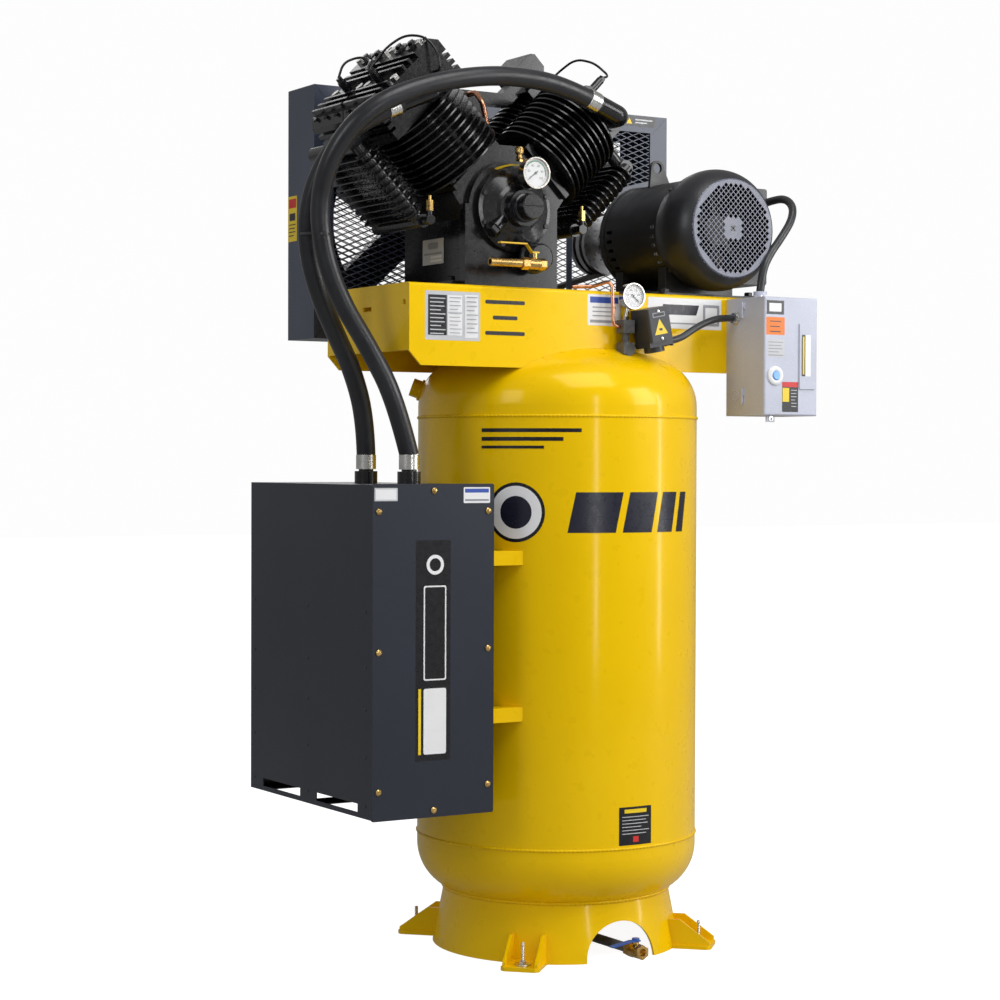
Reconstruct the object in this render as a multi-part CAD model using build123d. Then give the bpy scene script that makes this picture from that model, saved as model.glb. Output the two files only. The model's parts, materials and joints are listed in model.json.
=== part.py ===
"""Vertical tank air compressor: two-stage V4 pump, motor and silencer box on an upright tank.

Millimetres, +Z up, +X along the platform towards the motor, +Y towards the belt guard.
The origin is the tank's axis at the floor.
"""
from build123d import *
import math
import os

# Tank
TANK_R = 304.8
TANK_WALL = 6.0
LOW_WELD_Z = 243.0
HIGH_WELD_Z = 1144.0
HEAD_FLANGE = 24.0
CROWN_R = 0.9 * 2 * TANK_R
KNUCKLE_R = 0.173 * 2 * TANK_R
SKIRT_TOP_R, SKIRT_FLOOR_R, SKIRT_H, SKIRT_WALL = 245.0, 270.0, 128.0, 6.0
ARCH_HALF, ARCH_H = 85.0, 82.0
FOOT_TIP_R, FOOT_HOLE_R, FOOT_PCD_R = 350.0, 9.0, 317.5
PORT_BORE_R, PORT_BOSS_R = 12.3, 20.0
UPPER_PORT, LOWER_PORT = (148.5, 20.0), (60.0, 10.0)
DRAIN_DROP = 36.5
DRAIN_END = -284.0

# Platform
PLAT_X, PLAT_Y = 472.0, 180.0
PLAT_TOP, PLAT_LOW, PLAT_T = 1412.0, 1244.0, 5.0

# Pump
CRANK_X, CRANK_Z = -199.0, 1576.0
FRONT_Y, REAR_Y = -65.0, 75.0
THROW, PIN_R, JOURNAL_R = 32.0, 17.0, 22.0
DECK_L, FIN_TOP_L, HEAD_L, HEAD_TOP_L = 118.0, 280.0, 284.0, 385.0
BORE = {FRONT_Y: 45.0, REAR_Y: 30.0}
FIN_R = {FRONT_Y: 105.0, REAR_Y: 100.0}
HEAD_HALF = 108.0
HEAD_SPAN = {FRONT_Y: (-140.0, 3.0), REAR_Y: (7.0, 147.0)}
RIGHT_TOP_L = {FRONT_Y: 335.0, REAR_Y: 326.0}
UNLOADER_Q = {(-1, FRONT_Y): 18.0, (-1, REAR_Y): 18.0, (1, FRONT_Y): -27.0, (1, REAR_Y): 18.0}
CASE_FRONT, CASE_BACK = -130.0, 150.0
COOLER_Q = 153.0
UNLOADER_TOP_L = 410.0
COOLER_FRONT, COOLER_BACK = -70.0, 95.0
BANK = math.sqrt(0.5)

# Drive
FLY_R, FLY_Y0, FLY_Y1 = 235.0, 275.0, 335.0
PULLEY_R = 70.0
GROOVE_YS = (292.0, 318.0)
GROOVE_W, BELT_W, GROOVE_DEPTH, BELT_LIFT = 12.0, 11.0, 14.0, 0.4
GUARD_X0, GUARD_X1 = -470.0, 468.0
GUARD_Y0, GUARD_Y1 = 250.0, 378.0
GUARD_Z0, GUARD_Z1 = 1316.0, 1868.0

# Motor
MOTOR_X, MOTOR_Z, MOTOR_R = 320.0, 1560.0, 120.0
MOTOR_Y0, MOTOR_Y1 = -90.0, 120.0
COVER_R, GRILLE_R, GRILLE_Y = 134.0, 106.0, -210.0
GRILLE_LIP = 4.0
EYE_X, EYE_Y, EYE_Z = 290.0, 38.0, 1714.0

# Silencer box
BOX_X0, BOX_X1 = -588.0, -312.0
BOX_Y0, BOX_Y1 = -240.0, 316.0
BOX_Z0, BOX_Z1 = 337.0, 1002.0
BOX_T = 2.5
NIPPLE_X, NIPPLE_YS, NIPPLE_TOP = -458.0, (30.0, -156.0), 1062.0
ARM_ZS, ARM_Y = (850.0, 526.0), 195.0

# Motor starter
START_X0, START_X1 = 326.0, 471.0
START_BACK, START_SEAM, START_FRONT = -180.0, -240.0, -315.0
START_Z0, START_Z1 = 1150.0, 1406.0
HINGE_X, HINGE_R = START_X0 - 2.6, 2.4

# Pressure switch
SWITCH_TILT = -11.0
SWITCH_AT = (90.0, -226.0, 1336.0)
RISER = (40.0, -205.0)
NECK_Z = 1290.0
GAUGE_X, GAUGE_Y, GAUGE_Z = 54.0, -217.0, 1401.0

# Free hoses and cables
HOSE_R = 20.0
LEFT_HOSE = [
    (-458, 30, 1062), (-464, 24, 1140), (-503, 4, 1235), (-556, -20, 1310), (-601, -38, 1382),
    (-634, -52, 1462), (-645, -64, 1545), (-634, -90, 1625), (-606, -126, 1690),
    (-560, -158, 1738), (-486, -170, 1770),
]
RIGHT_HOSE = [
    (-458, -156, 1062), (-494, -164, 1172), (-545, -150, 1273), (-604, -130, 1373),
    (-636, -118, 1473), (-648, -122, 1573), (-636, -164, 1668), (-583, -208, 1748),
    (-471, -222, 1802), (-326, -220, 1835), (-204, -214, 1841), (-98, -206, 1826), (-23, -192, 1804),
]
CONDUIT_R = 9.0
CONDUIT = [
    (500, -70, 1634), (504, -106, 1640), (513, -146, 1643), (513, -176, 1622), (496, -192, 1588),
    (460, -202, 1548), (421, -210, 1508), (397, -214, 1470), (391, -215, 1424),
]
CABLE_R = 7.5
CABLE = [
    (135.3, -226, 1307.1), (166, -226, 1313.1), (196, -223, 1330), (228, -219, 1346), (262, -216, 1358),
    (294, -214, 1363), (318, -214, 1363),
]
INTAKE_LEFT_REACH, INTAKE_RIGHT_REACH = 90.0, 72.0
INTAKE_FLANGE = 8.0


# ---- Helpers ----
def block(x0, x1, y0, y1, z0, z1):
    """A rectangular block between two corners."""
    return Pos((x0 + x1) / 2, (y0 + y1) / 2, (z0 + z1) / 2) * Box(x1 - x0, y1 - y0, z1 - z0)


def bar(start, end, radius):
    """A round bar between two points."""
    run = Vector(*end) - Vector(*start)
    return extrude(Plane(origin=start, z_dir=run) * Circle(radius), amount=run.length)


def tube(start, end, radius, bore):
    """A straight tube between two points."""
    return bar(start, end, radius) - bar(start, end, bore)


def hexagon(start, end, radius):
    """A hexagonal bar between two points; radius is to its corners."""
    run = Vector(*end) - Vector(*start)
    return extrude(Plane(origin=start, z_dir=run) * RegularPolygon(radius, 6), amount=run.length)


def turned(points, centre_x, centre_z):
    """A solid turned about an axis along Y; points are (radius, y)."""
    face = Plane.XY * make_face(Polyline(*points, close=True))
    return Pos(centre_x, 0, centre_z) * revolve(face, Axis.Y)


def bent_path(points, radii):
    """Straight runs joined by tangent arcs."""
    return FilletPolyline(*points, radius=radii)


def arc_radii(points):
    """Each corner's largest easy arc: 0.45 of the shorter run over the tangent of half the turn."""
    spots = [Vector(*point) for point in points]
    radii = []
    for before, corner, after in zip(spots, spots[1:], spots[2:]):
        arriving, leaving = corner - before, after - corner
        half_turn = math.radians(arriving.get_angle(leaving)) / 2
        radii.append(0.45 * min(arriving.length, leaving.length) / math.tan(half_turn))
    return radii


def swept(points, radii, section_r):
    """A round bar along a bent path."""
    path = bent_path(points, radii)
    return sweep(Plane(origin=path @ 0, z_dir=path % 0) * Circle(section_r), path=path)


def cord(name, points, radius):
    """A free hose or cable as one solid tube; prints its length and arc radii."""
    radii = arc_radii(points)
    solid = swept(points, radii, radius)
    length = bent_path(points, radii).length
    ratio = solid.volume / (math.pi * radius**2 * length)
    print(name, "length", round(length), "volume ratio", round(ratio, 4), "radii", [round(r) for r in radii])
    return solid


def right_bank(y=0.0):
    """The right bank's frame: local x is outward across the bank, y is world Y, z is along it."""
    return Plane(origin=(CRANK_X, y, CRANK_Z), x_dir=(BANK, 0, -BANK), z_dir=(BANK, 0, BANK))


def bank_block(q0, q1, y0, y1, l0, l1):
    """A block in the right bank's frame."""
    return right_bank() * block(q0, q1, y0, y1, l0, l1)


def bank_bar(q, y, l0, l1, radius):
    """A round bar along the right bank's axis."""
    return right_bank() * bar((q, y, l0), (q, y, l1), radius)


def to_left(shape):
    """The same piece on the left bank."""
    return mirror(shape, about=Plane.YZ.offset(CRANK_X))


def bank_point(side, q, y, along):
    """A point in world coordinates; side is 1 for the right bank, -1 for the left."""
    return (CRANK_X + side * (along + q) * BANK, y, CRANK_Z + (along - q) * BANK)


def group(parts):
    """Separate solids kept in one node."""
    solids = [solid for part in parts for solid in part.solids()]
    return Compound(children=solids)


# ---- Tank ----
def head_rise():
    """Height of a head above its straight flange; crown and knuckle arcs are tangent."""
    centres = CROWN_R - KNUCKLE_R
    return CROWN_R - math.sqrt(centres**2 - (TANK_R - KNUCKLE_R) ** 2)


def head_outline(wall):
    """Half section of a head, wall inside its outer surface: flange, knuckle arc and crown arc."""
    rise, centres = head_rise(), CROWN_R - KNUCKLE_R
    lean = math.asin((TANK_R - KNUCKLE_R) / centres)
    crown_z = HEAD_FLANGE + rise - CROWN_R
    hub = TANK_R - KNUCKLE_R
    crown, knuckle = CROWN_R - wall, KNUCKLE_R - wall
    meet = (crown * math.sin(lean), crown_z + crown * math.cos(lean))
    half = (math.pi / 2 - lean) / 2
    knuckle_mid = (hub + knuckle * math.cos(half), HEAD_FLANGE + knuckle * math.sin(half))
    crown_mid = (crown * math.sin(lean / 2), crown_z + crown * math.cos(lean / 2))
    side, top = (TANK_R - wall, HEAD_FLANGE), (0, crown_z + crown)
    return [Line((TANK_R - wall, 0), side), ThreePointArc(side, knuckle_mid, meet), ThreePointArc(meet, crown_mid, top)]


def dome(wall=None):
    """A tank head on its straight flange, base at z 0: solid, or a shell of a given wall."""
    outer = head_outline(0)
    rim, top = (TANK_R, 0), (0, HEAD_FLANGE + head_rise())
    if wall is None:
        edges = outer + [Line(top, (0, 0)), Line((0, 0), rim)]
    else:
        edges = outer + head_outline(wall)
        edges += [Line(top, (0, top[1] - wall)), Line((TANK_R - wall, 0), rim)]
    return revolve(Plane.XZ * make_face(Curve() + edges), Axis.Z)


def tank_envelope():
    """The tank's outside as one solid, used to trim what is welded to it."""
    cap = dome()
    body = Pos(0, 0, LOW_WELD_Z) * extrude(Circle(TANK_R), amount=HIGH_WELD_Z - LOW_WELD_Z)
    lower = Pos(0, 0, LOW_WELD_Z) * mirror(cap, about=Plane.XY)
    return body + Pos(0, 0, HIGH_WELD_Z) * cap + lower


def head_spot(azimuth, lift, upper=True):
    """A point on a head's knuckle and the outward direction there; lift is 0 at its rim."""
    turn, up = math.radians(azimuth), math.radians(lift)
    sign = 1 if upper else -1
    rim_z = HIGH_WELD_Z + HEAD_FLANGE if upper else LOW_WELD_Z - HEAD_FLANGE
    radius = TANK_R - KNUCKLE_R + KNUCKLE_R * math.cos(up)
    spot = Vector(radius * math.cos(turn), radius * math.sin(turn), rim_z + sign * KNUCKLE_R * math.sin(up))
    slope = Vector(math.cos(up) * math.cos(turn), math.cos(up) * math.sin(turn), sign * math.sin(up))
    return spot, slope


def port_bar(port, upper, inside, outside, radius):
    """A bar along a port's axis, from inside the tank's wall to outside it."""
    spot, out = head_spot(*port, upper)
    return bar(tuple(spot - out * inside), tuple(spot + out * outside), radius)


def tank_vessel():
    """Rolled shell and two dished heads, butt-welded."""
    cap = dome(TANK_WALL)
    shell = Pos(0, 0, LOW_WELD_Z) * extrude(Circle(TANK_R) - Circle(TANK_R - TANK_WALL), HIGH_WELD_Z - LOW_WELD_Z)
    top = Pos(0, 0, HIGH_WELD_Z) * cap - port_bar(UPPER_PORT, True, 12, 40, PORT_BORE_R)
    top -= bar((RISER[0], RISER[1], 1200), (RISER[0], RISER[1], 1400), 8)
    bottom = Pos(0, 0, LOW_WELD_Z) * mirror(cap, about=Plane.XY)
    bottom -= bar((0, 0, 40), (0, 0, 100), 8)
    return group([shell, top, bottom])


def tank_skirt():
    """Flared ring under the tank, with an arch at the front and the back."""
    outer = loft([Circle(SKIRT_FLOOR_R), Pos(0, 0, SKIRT_H + 12) * Circle(skirt_r(SKIRT_H + 12))])
    inner = loft(
        [Circle(SKIRT_FLOOR_R - SKIRT_WALL), Pos(0, 0, SKIRT_H + 12) * Circle(skirt_r(SKIRT_H + 12) - SKIRT_WALL)]
    )
    arch = extrude(Plane.XZ * Ellipse(ARCH_HALF, ARCH_H), amount=400, both=True)
    return outer - inner - arch - tank_envelope()


def skirt_r(z):
    """The skirt's outside radius at a height."""
    return SKIRT_FLOOR_R + (SKIRT_TOP_R - SKIRT_FLOOR_R) * z / SKIRT_H


def tank_feet():
    """Four anchor plates, each with two gussets against the skirt."""
    half, plate_t, gusset_t, gusset_h = 41.0, 8.0, 6.0, 62.0
    inner_r, tip = SKIRT_FLOOR_R - 12, FOOT_TIP_R
    outline = Polyline((inner_r, -half), (inner_r, half), (tip - 8, half), (tip, half - 8),
                       (tip, 8 - half), (tip - 8, -half), close=True)
    plate = extrude(make_face(outline), amount=plate_t) - Pos(FOOT_PCD_R, 0, 0) * Cylinder(FOOT_HOLE_R, 40)
    web = make_face(Polyline((inner_r - 14, plate_t), (tip - 4, plate_t), (tip - 4, plate_t + 8),
                             (SKIRT_FLOOR_R + 12, gusset_h), (inner_r - 14, gusset_h), close=True))
    foot = plate
    for side in (-1, 1):
        foot += Pos(0, side * 34, 0) * extrude(Plane.XZ * web, amount=gusset_t / 2, both=True)
    foot -= loft([Circle(SKIRT_FLOOR_R), Pos(0, 0, SKIRT_H) * Circle(SKIRT_TOP_R)])
    return group([Rot(0, 0, azimuth) * foot for azimuth in (45, 135, 225, 315)])


def tank_fittings():
    """Pipe couplings on the heads, a plug, the drain pipe and the riser to the pressure switch."""
    envelope = tank_envelope()
    outlet = port_bar(UPPER_PORT, True, 10, 22, PORT_BOSS_R) - envelope
    outlet -= port_bar(UPPER_PORT, True, 12, 40, PORT_BORE_R)
    spot, out = head_spot(*LOWER_PORT, False)
    plug = port_bar(LOWER_PORT, False, 10, 22, PORT_BOSS_R) - envelope
    plug += hexagon(tuple(spot + out * 22), tuple(spot + out * 30), 14)
    x, y = RISER
    riser = bar((x, y, 1240), (x, y, 1278), 14) + block(x - 14, x + 14, y - 14, y + 14, 1278, 1302)
    riser += bar((x, y, 1302), (x, y, 1322), 8) + block(x - 14, x + 14, y - 14, y + 14, 1322, 1350)
    riser -= bar((x, y, 1230), (x, y, 1340), 5)
    top, z = drain_top(), drain_z()
    drop = bar((0, 0, z - 12), (0, 0, top + 4), 15) - envelope
    drain = drop + bar((0, 12, z), (0, -26, z), 15) + bar((0, -26, z), (0, DRAIN_END, z), 10)
    return group([outlet, plug, riser - envelope, drain])


def drain_top():
    """The lowest point of the tank."""
    return LOW_WELD_Z - HEAD_FLANGE - head_rise()


def drain_z():
    """Height of the drain pipe's axis."""
    return drain_top() - DRAIN_DROP


def tank_drain_valve():
    """Ball valve on the end of the drain pipe, with a short outlet."""
    z, end = drain_z(), DRAIN_END
    body = hexagon((0, end, z), (0, end - 16, z), 17) + bar((0, end - 16, z), (0, end - 38, z), 15)
    body += hexagon((0, end - 38, z), (0, end - 52, z), 16)
    body += bar((0, end - 26, z), (0, end - 26, z + 19), 7)
    return body - bar((0, end - 38, z), (0, end - 58, z), 8)


def tank_drain_lever():
    """Flat handle on the drain valve's stem, shut across the pipe; its grip drops a little."""
    z, y = drain_z() + 19, DRAIN_END - 26
    profile = Polyline((8, z), (8, z + 3), (-14, z + 3), (-62, z - 4), (-62, z - 7), (-15, z), close=True)
    lever = Pos(0, y + 7, 0) * extrude(Plane.XZ * make_face(profile), amount=14)
    return lever + bar((0, y, z), (0, y, z + 7), 8)


# ---- Platform ----
def platform():
    """Bent-sheet table with front and rear aprons saddled on the dome, and two end panels."""
    outer = block(-PLAT_X, PLAT_X, -PLAT_Y, PLAT_Y, PLAT_LOW, PLAT_TOP)
    outer = fillet([e for e in outer.edges().filter_by(Axis.X) if e.center().Z > PLAT_TOP - 1], 7)
    inner = block(-PLAT_X + PLAT_T, PLAT_X - PLAT_T, -PLAT_Y + PLAT_T, PLAT_Y - PLAT_T,
                  PLAT_LOW - 1, PLAT_TOP - PLAT_T)
    table = outer - inner
    end_low = PLAT_LOW + 30
    for side in (-1, 1):
        x0, x1 = sorted((side * (PLAT_X - PLAT_T), side * (PLAT_X + 1)))
        table -= block(x0, x1, -PLAT_Y + PLAT_T, PLAT_Y - PLAT_T, PLAT_LOW - 1, end_low)
        corner = make_face(Polyline((side * (PLAT_X + 1), PLAT_LOW - 1), (side * (PLAT_X - 28), PLAT_LOW - 1),
                                    (side * (PLAT_X + 1), end_low), close=True))
        table -= extrude(Plane.XZ * corner, amount=400, both=True)
        table -= block(x0, x1, -18, 18, 1360, 1369)
        table -= block(x0, x1, -164, -154, 1367, 1377)
    return table - tank_envelope()


# ---- Silencer box ----
def silencer_body():
    """Folded steel box, open at the front, with inlet slots low on its sides and an open floor."""
    outer = block(BOX_X0, BOX_X1, BOX_Y0, BOX_Y1, BOX_Z0, BOX_Z1)
    inner = block(BOX_X0 + BOX_T, BOX_X1 - BOX_T, BOX_Y0 - 1, BOX_Y1 - BOX_T, BOX_Z0 + BOX_T, BOX_Z1 - BOX_T)
    box = outer - inner
    for y0, y1 in ((76, 255), (-181, 2)):
        box -= block(BOX_X0 - 1, BOX_X1 + 1, y0, y1, BOX_Z0 + 10, BOX_Z0 + 27)
        box -= block(BOX_X0 + 14, BOX_X1 - 14, y0, y1, BOX_Z0 - 1, BOX_Z0 + BOX_T + 1)
    for y in NIPPLE_YS:
        box -= bar((NIPPLE_X, y, BOX_Z1 - 10), (NIPPLE_X, y, BOX_Z1 + 1), 16)
    lip = 14
    frame = block(BOX_X0 + BOX_T, BOX_X1 - BOX_T, BOX_Y0, BOX_Y0 + BOX_T, BOX_Z0 + BOX_T, BOX_Z1 - BOX_T)
    frame -= block(BOX_X0 + lip, BOX_X1 - lip, BOX_Y0 - 1, BOX_Y0 + lip, BOX_Z0 + lip, BOX_Z1 - lip)
    return box + frame


def silencer_cover():
    """Flat front cover with a small return all round."""
    cover = block(BOX_X0 - 2, BOX_X1 + 2, BOX_Y0 - 6, BOX_Y0, BOX_Z0 - 2, BOX_Z1 + 2)
    return chamfer(cover.edges().filter_by(Axis.Y), 3)


def silencer_screws():
    """Domed cover screws."""
    spots = [(x, z) for x in (BOX_X0 + 12, BOX_X1 - 12) for z in (BOX_Z0 + 56, 670, BOX_Z1 - 53)]
    spots += [((BOX_X0 + BOX_X1) / 2, z) for z in (BOX_Z0 + 12, BOX_Z1 - 12)]
    profile = [(0, BOX_Y0 - 6), (6.5, BOX_Y0 - 6), (6.5, BOX_Y0 - 8), (4, BOX_Y0 - 10.5), (0, BOX_Y0 - 11)]
    return group([turned(profile, x, z) for x, z in spots])


def silencer_filters():
    """A filter canister hung under each hose connection."""
    parts = []
    for y in NIPPLE_YS:
        can = tube((NIPPLE_X, y, 760), (NIPPLE_X, y, 985), 55, 32)
        cap = bar((NIPPLE_X, y, 752), (NIPPLE_X, y, 760), 58)
        top = tube((NIPPLE_X, y, 985), (NIPPLE_X, y, BOX_Z1 - BOX_T), 58, 15)
        parts.append(can + cap + top)
    return group(parts)


def hose_nipples():
    """Hose tails with a collar on the silencer's lid."""
    parts = []
    for y in NIPPLE_YS:
        tail = bar((NIPPLE_X, y, BOX_Z1 - BOX_T), (NIPPLE_X, y, NIPPLE_TOP), 15.5)
        collar = bar((NIPPLE_X, y, BOX_Z1), (NIPPLE_X, y, BOX_Z1 + 26), 24)
        sleeve = bar((NIPPLE_X, y, BOX_Z1 + 30), (NIPPLE_X, y, NIPPLE_TOP), 21)
        parts.append(tail + collar + sleeve - bar((NIPPLE_X, y, BOX_Z0), (NIPPLE_X, y, NIPPLE_TOP), 12))
    return parts


def silencer_arms():
    """Four square tubes that carry the silencer box on the tank."""
    envelope = tank_envelope()
    parts = []
    for z in ARM_ZS:
        for side in (-1, 1):
            y = side * ARM_Y
            arm = block(BOX_X1, -190, y - 17, y + 17, z - 15, z + 15)
            arm -= block(BOX_X1 - 1, -189, y - 14, y + 14, z - 12, z + 12)
            arm += block(BOX_X1, BOX_X1 + 4, y - 17, y + 17, z - 15, z + 15)
            parts.append(arm - envelope)
    return group(parts)


# ---- Pump ----
def crankcase():
    """Hollow casting with two decks at 45 degrees, a front flange and mounting feet."""
    side, foot = 101.0, PLAT_TOP - CRANK_Z
    inner, outer = (DECK_L - 75) * BANK, (DECK_L + 75) * BANK
    profile = Polyline((-side, foot), (side, foot), (side, -20), (outer, inner), (inner, outer),
                       (-inner, outer), (-outer, inner), (-side, -20), close=True)
    plane = Plane(origin=(CRANK_X, CASE_FRONT + 12, CRANK_Z), x_dir=(1, 0, 0), z_dir=(0, 1, 0))
    flipped = mirror(make_face(profile), about=Plane.XZ)
    case = extrude(plane * flipped, amount=CASE_BACK - CASE_FRONT - 12)
    case += block(CRANK_X - 113, CRANK_X + 113, CASE_FRONT, CASE_FRONT + 24, PLAT_TOP, CRANK_Z + 8)
    case += bar((CRANK_X, CASE_FRONT, CRANK_Z), (CRANK_X, CASE_FRONT + 24, CRANK_Z), 104)
    case += block(CRANK_X - 131, CRANK_X + 131, -104, 128, PLAT_TOP, PLAT_TOP + 13)
    for edge in (-1, 1):
        for level in (44, 84, 124):
            z = PLAT_TOP + level
            x0, x1 = sorted((CRANK_X + edge * 100, CRANK_X + edge * 108))
            case += block(x0, x1, CASE_FRONT + 20, CASE_FRONT + 52, z - 3, z + 3)
    case -= bar((CRANK_X, CASE_FRONT + 18, CRANK_Z), (CRANK_X, CASE_BACK - 22, CRANK_Z), 86)
    case -= block(CRANK_X - 86, CRANK_X + 86, CASE_FRONT + 18, CASE_BACK - 22, PLAT_TOP + 14, CRANK_Z)
    case -= bar((CRANK_X, CASE_FRONT - 1, CRANK_Z), (CRANK_X, CASE_FRONT + 30, CRANK_Z), 76)
    case -= bar((CRANK_X, CASE_BACK - 30, CRANK_Z), (CRANK_X, CASE_BACK + 1, CRANK_Z), 46)
    for y, bore in BORE.items():
        hole = bank_bar(0, y, 60, DECK_L + 20, bore + 4)
        case = case - hole - to_left(hole)
    for x in (-118, 118):
        for y in (-80, 104):
            case -= bar((CRANK_X + x, y, PLAT_TOP - 1), (CRANK_X + x, y, PLAT_TOP + 14), 6.5)
    return case


def cover_casting():
    """Domed front bearing cover with a spigot and hub."""
    y = CASE_FRONT
    profile = [(46, y + 16), (75.9, y + 16), (75.9, y), (88, y), (88, y - 12), (80, y - 14), (52, y - 24),
               (44, y - 28), (38, y - 30), (38, y - 54), (24, y - 54), (24, y - 8), (46, y - 8)]
    return turned(profile, CRANK_X, CRANK_Z)


def bearing_cover():
    """The front cover and the slotted round cap screwed into its hub."""
    y = CASE_FRONT
    cap = turned([(0, y - 50), (23.9, y - 50), (23.9, y - 54), (30, y - 54), (30, y - 60), (26.5, y - 62),
                  (26.5, y - 86), (24.5, y - 88), (0, y - 88)], CRANK_X, CRANK_Z)
    cap -= block(CRANK_X - 30, CRANK_X + 30, y - 89, y - 85, CRANK_Z - 1.5, CRANK_Z + 1.5)
    return group([cover_casting(), cap])


def oil_filter():
    """Spin-on canister on the crankcase's front, low and to the right."""
    y = CASE_FRONT
    profile = [(0, y), (19, y), (19, y - 22), (33, y - 22), (33, y - 30), (29, y - 34), (29, y - 56),
               (25, y - 60), (0, y - 60)]
    return turned(profile, -161, 1475)


def oil_gauge():
    """Dial gauge on a back stem in front of the bearing cover."""
    y = -200.0
    case = turned([(0, y + 6), (30, y + 6), (30, y), (33, y), (33, y + 22), (26, y + 28), (0, y + 28)], -181, 1648)
    stem = bar((-181, y + 28, 1648), (-181, CASE_FRONT - 14, 1648), 7)
    return case + (stem - cover_casting())


def gauge_pointer(x, y, z, reach, angle):
    """Tapered pointer on a hub, its angle measured clockwise from straight up as seen from the front."""
    outline = Polyline((-1.4, -reach * 0.3), (1.4, -reach * 0.3), (0.5, reach), (-0.5, reach), close=True)
    needle = extrude(make_face(outline), amount=1.2) + Cylinder(3, 1.2, align=(Align.CENTER, Align.CENTER, Align.MIN))
    face = Plane(origin=(x, y, z), x_dir=(1, 0, 0), z_dir=(0, -1, 0))
    return face * (Rot(0, 0, -angle) * needle)


def oil_drain_valve():
    """Drain nipple out of the crankcase, a brass ball valve across it and its outlet pipe."""
    y, z = -210.0, 1458.0
    nipple = bar((-208, CASE_FRONT, z), (-208, y + 8, z), 8)
    body = hexagon((-224, y, z), (-208, y, z), 13) + bar((-208, y, z), (-182, y, z), 12)
    body += hexagon((-182, y, z), (-168, y, z), 12.5) + bar((-192, y, z), (-192, y, z + 22), 5.5)
    body -= bar((-208, y + 8, z), (-208, y + 20, z), 8)
    outlet = tube((-300, y, z), (-224, y, z), 8.5, 6)
    return group([nipple, body, outlet])


def oil_drain_lever():
    """Cranked flat handle on the drain valve's stem."""
    y, z = -210.0, 1480.0
    outline = Polyline((-184, z), (-199, z), (-213, z + 17), (-278, z + 17), (-278, z + 20), (-214.5, z + 20),
                       (-200.4, z + 3), (-184, z + 3), close=True)
    lever = extrude(Plane.XZ * make_face(outline), amount=6, both=True)
    return Pos(0, y, 0) * lever


def crankshaft():
    """Two-pin shaft with counterweighted webs, carried on through the rear wall to the flywheel."""
    shaft = bar((CRANK_X, -136, CRANK_Z), (CRANK_X, -90, CRANK_Z), JOURNAL_R)
    shaft += bar((CRANK_X, -40, CRANK_Z), (CRANK_X, 50, CRANK_Z), JOURNAL_R)
    shaft += bar((CRANK_X, 100, CRANK_Z), (CRANK_X, FLY_Y1 + 12, CRANK_Z), JOURNAL_R)
    for y, side in ((FRONT_Y, 1), (REAR_Y, -1)):
        pin_z = CRANK_Z + side * THROW
        shaft += bar((CRANK_X, y - 22, pin_z), (CRANK_X, y + 22, pin_z), PIN_R)
        for web_y in (y - 27, y + 17):
            web = block(CRANK_X - 26, CRANK_X + 26, web_y, web_y + 10, CRANK_Z - 58, CRANK_Z + 58)
            shaft += web
    return shaft


def crank_bearings():
    """Two tapered roller bearings, drawn as plain rings."""
    y0, y1 = CASE_FRONT - 8, CASE_FRONT + 16
    front = tube((CRANK_X, y0, CRANK_Z), (CRANK_X, y1, CRANK_Z), 46, JOURNAL_R + 0.05)
    rear = tube((CRANK_X, CASE_BACK - 22, CRANK_Z), (CRANK_X, CASE_BACK, CRANK_Z), 46, JOURNAL_R + 0.05)
    return group([front, rear])


def cylinder(y):
    """A finned barrel on a square base flange, in the right bank."""
    bore, fin_r = BORE[y], FIN_R[y]
    barrel = bank_bar(0, y, DECK_L, HEAD_L, bore + 15)
    barrel += bank_block(-72, 72, y - 66, y + 66, DECK_L, DECK_L + 12)
    count = 10
    pitch = (FIN_TOP_L - DECK_L - 24) / (count - 1)
    inner_face = y + (69 if y == FRONT_Y else -69)
    for index in range(count):
        along = DECK_L + 22 + index * pitch
        fin = bank_bar(0, y, along, along + 3.5, fin_r)
        y0, y1 = sorted((inner_face, inner_face + (200 if y == FRONT_Y else -200)))
        barrel += fin - bank_block(-200, 200, y0, y1, along - 1, along + 5)
    return barrel - bank_bar(0, y, DECK_L - 1, HEAD_L + 1, bore)


def cylinders():
    """Four finned cylinders: large ones at the front, small ones at the back."""
    right = [cylinder(y) for y in (FRONT_Y, REAR_Y)]
    return group(right + [to_left(part) for part in right])


def cylinder_head(y):
    """A head with a raised chamber on its inner side and ribs across the rest of its top."""
    y0, y1 = HEAD_SPAN[y]
    rib_floor = HEAD_TOP_L - 13
    head = bank_block(-HEAD_HALF, HEAD_HALF, y0, y1, HEAD_L, rib_floor)
    plenum = bank_block(-HEAD_HALF, -46, y0, y1, rib_floor, HEAD_TOP_L)
    head = head + plenum
    long_edges = [e for e in head.edges().filter_by(Axis.Y) if abs(bank_q(e)) > HEAD_HALF - 1 and bank_l(e) > 300]
    head = chamfer(long_edges, 16)
    for q in (-28, -8, 42, 62, 82):
        head += bank_block(q - 3, q + 3, y0 + 4, y1 - 4, rib_floor, HEAD_TOP_L)
    for along in (304, 320, 336):
        for q0, q1 in ((-HEAD_HALF - 1, -HEAD_HALF + 14), (HEAD_HALF - 14, HEAD_HALF + 1)):
            head -= bank_block(q0, q1, y0 - 1, y1 + 1, along, along + 7)
    return head


def bank_q(edge):
    """An edge centre's offset across the right bank."""
    centre = edge.center()
    return ((centre.X - CRANK_X) - (centre.Z - CRANK_Z)) * BANK


def bank_l(edge):
    """An edge centre's distance along the right bank."""
    centre = edge.center()
    return ((centre.X - CRANK_X) + (centre.Z - CRANK_Z)) * BANK


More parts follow.
